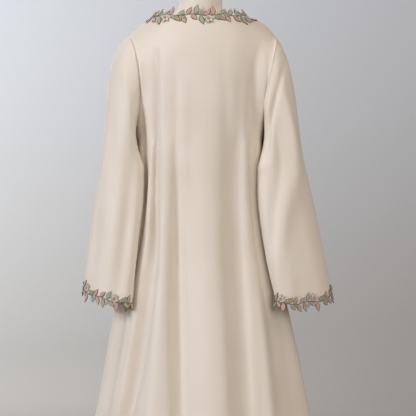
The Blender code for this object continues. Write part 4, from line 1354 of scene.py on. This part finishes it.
class StageSettings(bpy.types.PropertyGroup):
    """Floor, backdrop, lights and camera."""

    distance: FloatProperty(name="Distance", description="Camera's distance from the form",
                            default=5.5, unit="LENGTH")
    key: FloatProperty(name="Key light", description="Power of the key light", default=160.0)
    front: FloatProperty(name="Front light", description="Power of the light before the part",
                         default=98.0)
    top: FloatProperty(name="Top light", description="Power of the light above the shoulders",
                       default=17.0)
    open_side: FloatProperty(name="Open side light", default=50.0,
                             description="Power of the light on the cloak's open side")
    wall: FloatProperty(name="Wall light", description="Power of the backdrop's light",
                        default=600.0)
    fill: FloatProperty(name="Fill", description="Strength of the light from all round",
                        default=0.42)
    room: FloatProperty(name="Room", description="Radius of the round backdrop",
                        default=12.5, unit="LENGTH")
    sweep: FloatProperty(name="Sweep", description="Radius of the curve from floor to wall",
                         default=7.5, unit="LENGTH")
    turns: IntProperty(name="Backdrop sides", description="Sides of the round backdrop",
                       default=96)
    # Backdrop colours with painted light and shade: lighter at the left, darker at the right,
    # and darker and warmer low down
    paper_painted_light_left: FloatVectorProperty(name="Left", description="Backdrop colour at its left",
                                    subtype="COLOR", size=3, default=(0.575, 0.59, 0.61))
    paper_painted_shade_right: FloatVectorProperty(name="Right", description="Backdrop colour at its right",
                                     subtype="COLOR", size=3, default=(0.475, 0.48, 0.50))
    paper_painted_shade_low_left: FloatVectorProperty(name="Low left", subtype="COLOR", size=3,
                                        description="Backdrop colour low at its left",
                                        default=(0.41, 0.392, 0.362))
    paper_painted_shade_low_right: FloatVectorProperty(name="Low right", subtype="COLOR", size=3,
                                         description="Backdrop colour low at its right",
                                         default=(0.295, 0.275, 0.255))


# Operators

class CLOAK_OT_panels(bpy.types.Operator):
    """Back and two fronts of the cloak"""

    bl_idname = "cloak.panels"
    bl_label = "Back and fronts"

    def execute(self, context):
        settings = context.scene.cloak_cloth
        cloth = cloth_material(settings)
        half = panel_bearings(False)
        front = panel_bearings(True)
        cuts = (("back", [-b for b in reversed(half[1:])] + half, False, (1.08, 1.46), 0.88),
                ("front_right", front[::-1], True, (0.56, 1.44), 0.42),
                ("front_left", [-b for b in front], True, (0.56, 1.44), 0.42))
        for name, bearings, is_front, flat, area in cuts:
            grid = panel_grid(bearings, is_front, settings.creases)
            MADE[name] = grid
            item = shell_object(f"{name}_cloth", grid, False, settings.thickness)
            item.data.materials.append(cloth)
            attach(item, "root")
            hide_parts(name)
        return {"FINISHED"}


class CLOAK_OT_sleeves(bpy.types.Operator):
    """Two set-in sleeves"""

    bl_idname = "cloak.sleeves"
    bl_label = "Sleeves"

    def execute(self, context):
        settings = context.scene.cloak_cloth
        cloth = bpy.data.materials["cream_crepe"]
        sleeves = (("sleeve_left", SLEEVE_LEFT, SLEEVE_FOLDS_LEFT, CUFF_LEFT, -1.0,
                    LEFT_CREASES, (0.41, 0.66), 0.21),
                   ("sleeve_right", SLEEVE_RIGHT, SLEEVE_FOLDS_RIGHT, CUFF_RIGHT, 1.0,
                    RIGHT_CREASES, (0.44, 0.67), 0.23))
        for name, table, folds, cuff, side, creases, flat, area in sleeves:
            grid = sleeve_grid(table, folds, cuff, side, creases, settings.creases)
            MADE[name] = grid
            item = shell_object(f"{name}_cloth", grid, True, settings.thickness)
            item.data.materials.append(cloth)
            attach(item, "root")
            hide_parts(name)
        return {"FINISHED"}


class CLOAK_OT_vines(bpy.types.Operator):
    """Leaf-vine trims of the neckline and the cuffs"""

    bl_idname = "cloak.vines"
    bl_label = "Vines"

    def execute(self, context):
        settings = context.scene.cloak_vine
        materials = {key: thread_material(f"{key}_thread", *colours)
                     for key, colours in THREADS.items()}
        materials["stem"] = stem_material(settings)
        panels = [(MADE[name], False) for name in ("front_left", "back", "front_right")]
        tree = surface_tree(panels)
        step = PANEL_COLUMNS["neck"]
        back = MADE["back"]
        middle = len(back) // 2
        neck = np.concatenate([MADE["front_left"][:step, 0],
                               back[middle - step:middle + step + 1, 0],
                               MADE["front_right"][-step:, 0]])
        edge = Edge([Vector(p) for p in neck], False, tree)
        build_vine("vine_neck", edge, settings, materials)
        for side in ("left", "right"):
            sleeve = MADE[f"sleeve_{side}"]
            cuff = [Vector(p) for p in sleeve[:, -1]]
            edge = Edge(cuff, True, surface_tree([(sleeve, True)]))
            build_vine(f"vine_cuff_{side}", edge, settings, materials)
        return {"FINISHED"}


class CLOAK_OT_stitches(bpy.types.Operator):
    """Rows of stitches along the hems, the front edges and the cuffs"""

    bl_idname = "cloak.stitches"
    bl_label = "Stitches"

    def execute(self, context):
        settings = context.scene.cloak_stitch
        nodes = Nodes("hem_thread")
        wander = nodes.noise(nodes.coordinates("Object"), 700.0, 2.0)
        colour = nodes.mix(wander, (0.74, 0.66, 0.56), (0.60, 0.52, 0.43))
        group = stitch_nodes(nodes.finish(colour, wander * 0.2 + 0.4, Sheen_Weight=0.1))
        lift = 0.5 * settings.radius
        rows = [(name, False, False, True) for name in ("back", "front_left", "front_right")]
        rows += [(name, True, False, True) for name in ("sleeve_left", "sleeve_right")]
        rows += [("front_left", False, True, False), ("front_right", False, True, True)]
        for seed, (name, wrap, sideways, from_end) in enumerate(rows):
            line = inset_line(MADE[name], wrap, sideways, from_end, settings.inset, lift)
            stitch_row(f"{name}_{'edge' if sideways else 'hem'}_stitches", line, wrap, group,
                       settings, seed)
        return {"FINISHED"}


class CLOAK_OT_form(bpy.types.Operator):
    """Linen-covered torso, and the finish of the pole and base"""

    bl_idname = "cloak.form"
    bl_label = "Dress form"

    def execute(self, context):
        settings = context.scene.cloak_form
        item = form_object("form_torso_cover", form_grid(settings.seam_depth))
        item.data.materials.append(linen_material(settings))
        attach(item, "root")
        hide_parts("form_torso")
        metal = metal_material(settings)
        for name in ("form_pole", "form_base"):
            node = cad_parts[name]
            node.data.materials.clear()
            node.data.materials.append(metal)
        return {"FINISHED"}


def form_grid(seam_depth):
    """Columns of the torso's outer points, top to bottom, with its seams pressed in."""
    levels = []
    for low, high in zip(FORM_LEVELS, FORM_LEVELS[1:]):
        rows = max(int((high[0] - low[0]) / FORM_ROW_HEIGHT), 1)
        levels += [low[0] + (high[0] - low[0]) * i / rows for i in range(rows)]
    levels.append(FORM_LEVELS[-1][0])
    columns = []
    for i in range(FORM_COLUMNS):
        angle = 360.0 * i / FORM_COLUMNS
        column = []
        for z in reversed(levels):
            half_width, behind, before = table_at(FORM_LEVELS, z)
            depth = behind if cos(radians(angle)) >= 0.0 else before
            sunk = 0.0
            for seam in FORM_SEAMS:
                sunk += hump((angle - seam + 180.0) % 360.0 - 180.0, FORM_SEAM_SPREAD)
            for line in FORM_NECK_LINES:
                sunk += hump(z - line, FORM_LINE_SPREAD)
            inset = 1.0 - seam_depth * min(sunk, 1.0) / half_width
            column.append((half_width * sin(radians(angle)) * inset,
                           FORM_SHIFT_Y - depth * cos(radians(angle)) * inset, z))
        columns.append(column)
    return np.array(columns)


def form_object(name, grid):
    """Closed round body from a grid of columns, top to bottom."""
    count, rows = grid.shape[:2]
    points = grid.reshape(-1, 3).tolist()
    faces = []
    for i in range(count):
        k = (i + 1) % count
        for j in range(rows - 1):
            a, b = i * rows + j, k * rows + j
            faces.append((a, a + 1, b + 1, b))
    for j, order in ((0, 1), (rows - 1, -1)):
        centre = len(points)
        points.append(tuple(grid[:, j].mean(0)))
        for i in range(count):
            k = (i + 1) % count
            faces.append((i * rows + j, k * rows + j, centre)[::order])
    mesh = bpy.data.meshes.new(name)
    mesh.from_pydata(points, [], faces)
    mesh.shade_smooth()
    mesh.set_sharp_from_angle(angle=radians(FORM_SHARP))
    return linked(name, mesh)


def area_light(name, place, aim, size, power, colour):
    """Soft square light aimed at a point."""
    light = bpy.data.lights.new(name, "AREA")
    light.size = size
    light.energy = power
    light.color = colour
    item = linked(name, light)
    item.location = place
    item.rotation_euler = (Vector(place) - Vector(aim)).to_track_quat("Z", "Y").to_euler()


def swept_room(name, profile, sides, material):
    """Round floor that sweeps up into a wall, facing inwards."""
    points = []
    faces = []
    for radius, height in profile:
        for i in range(sides):
            angle = 2.0 * pi * i / sides
            points.append((radius * cos(angle), radius * sin(angle), height))
    for j in range(len(profile) - 1):
        for i in range(sides):
            k = (i + 1) % sides
            faces.append((j * sides + i, (j + 1) * sides + i, (j + 1) * sides + k,
                          j * sides + k))
    faces += [(i, (i + 1) % sides, len(points)) for i in range(sides)]
    points.append((0.0, 0.0, 0.0))
    mesh = bpy.data.meshes.new(name)
    mesh.from_pydata(points, [], faces)
    mesh.shade_smooth()
    mesh.materials.append(material)
    return linked(name, mesh)


class CLOAK_OT_stage(bpy.types.Operator):
    """Pale floor, round backdrop, soft lights and the camera"""

    bl_idname = "cloak.stage"
    bl_label = "Stage"

    def execute(self, context):
        settings = context.scene.cloak_stage
        scene = context.scene
        scene.view_settings.view_transform = "Standard"
        profile = [(settings.room - settings.sweep, 0.0)]
        for i in range(1, SWEEP_STEPS + 1):
            angle = 0.5 * pi * i / SWEEP_STEPS
            profile.append((settings.room - settings.sweep * (1.0 - sin(angle)),
                            settings.sweep * (1.0 - cos(angle))))
        profile.append((settings.room, settings.room))
        paper = backdrop_material("backdrop_paper", tuple(settings.paper_painted_light_left),
                                  tuple(settings.paper_painted_shade_right),
                                  tuple(settings.paper_painted_shade_low_left),
                                  tuple(settings.paper_painted_shade_low_right))
        swept_room("backdrop", profile, settings.turns, paper)
        world = bpy.data.worlds.new("studio")
        scene.world = world
        world.use_nodes = True
        background = world.node_tree.nodes["Background"]
        background.inputs["Color"].default_value = FILL_COLOUR
        background.inputs["Strength"].default_value = settings.fill
        for name, place, aim, size, colour in LIGHTS:
            area_light(name, place, aim, size, getattr(settings, name), colour)
        camera = bpy.data.cameras.new("camera")
        camera.sensor_width = SENSOR_WIDTH
        reach = settings.distance - FACE_DEPTH
        camera.lens = SENSOR_WIDTH * reach / VIEW_SPAN
        item = linked("camera", camera)
        item.location = (VIEW_CENTRE[0], -settings.distance, VIEW_CENTRE[1])
        item.rotation_euler = (radians(90.0), 0.0, 0.0)
        scene.camera = item
        return {"FINISHED"}


class CLOAK_PT_panel(bpy.types.Panel):
    """Sidebar panel with the steps in order"""

    bl_idname = "CLOAK_PT_panel"
    bl_label = "Abaya on a dress form"
    bl_space_type = "VIEW_3D"
    bl_region_type = "UI"
    bl_category = "Abaya"

    def draw(self, context):
        for name, _ in GROUPS:
            group = getattr(context.scene, name)
            column = self.layout.column(align=True)
            for key in group.__annotations__:
                column.prop(group, key)
        for operator in STEPS:
            self.layout.operator(operator.bl_idname)


GROUPS = (("cloak_cloth", ClothSettings), ("cloak_vine", VineSettings),
          ("cloak_stitch", StitchSettings), ("cloak_form", FormSettings),
          ("cloak_stage", StageSettings))
STEPS = (CLOAK_OT_panels, CLOAK_OT_sleeves, CLOAK_OT_vines, CLOAK_OT_stitches,
         CLOAK_OT_form, CLOAK_OT_stage)
MADE = {}


def register():
    for name, group in GROUPS:
        bpy.utils.register_class(group)
        setattr(bpy.types.Scene, name, PointerProperty(type=group))
    for step in STEPS + (CLOAK_PT_panel,):
        bpy.utils.register_class(step)


def unregister():
    for step in reversed(STEPS + (CLOAK_PT_panel,)):
        bpy.utils.unregister_class(step)
    for name, group in reversed(GROUPS):
        delattr(bpy.types.Scene, name)
        bpy.utils.unregister_class(group)


def main():
    """Register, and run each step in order."""
    register()
    bpy.ops.cloak.panels()
    bpy.ops.cloak.sleeves()
    bpy.ops.cloak.vines()
    bpy.ops.cloak.stitches()
    bpy.ops.cloak.form()
    bpy.ops.cloak.stage()


if __name__ == "__main__":
    main()
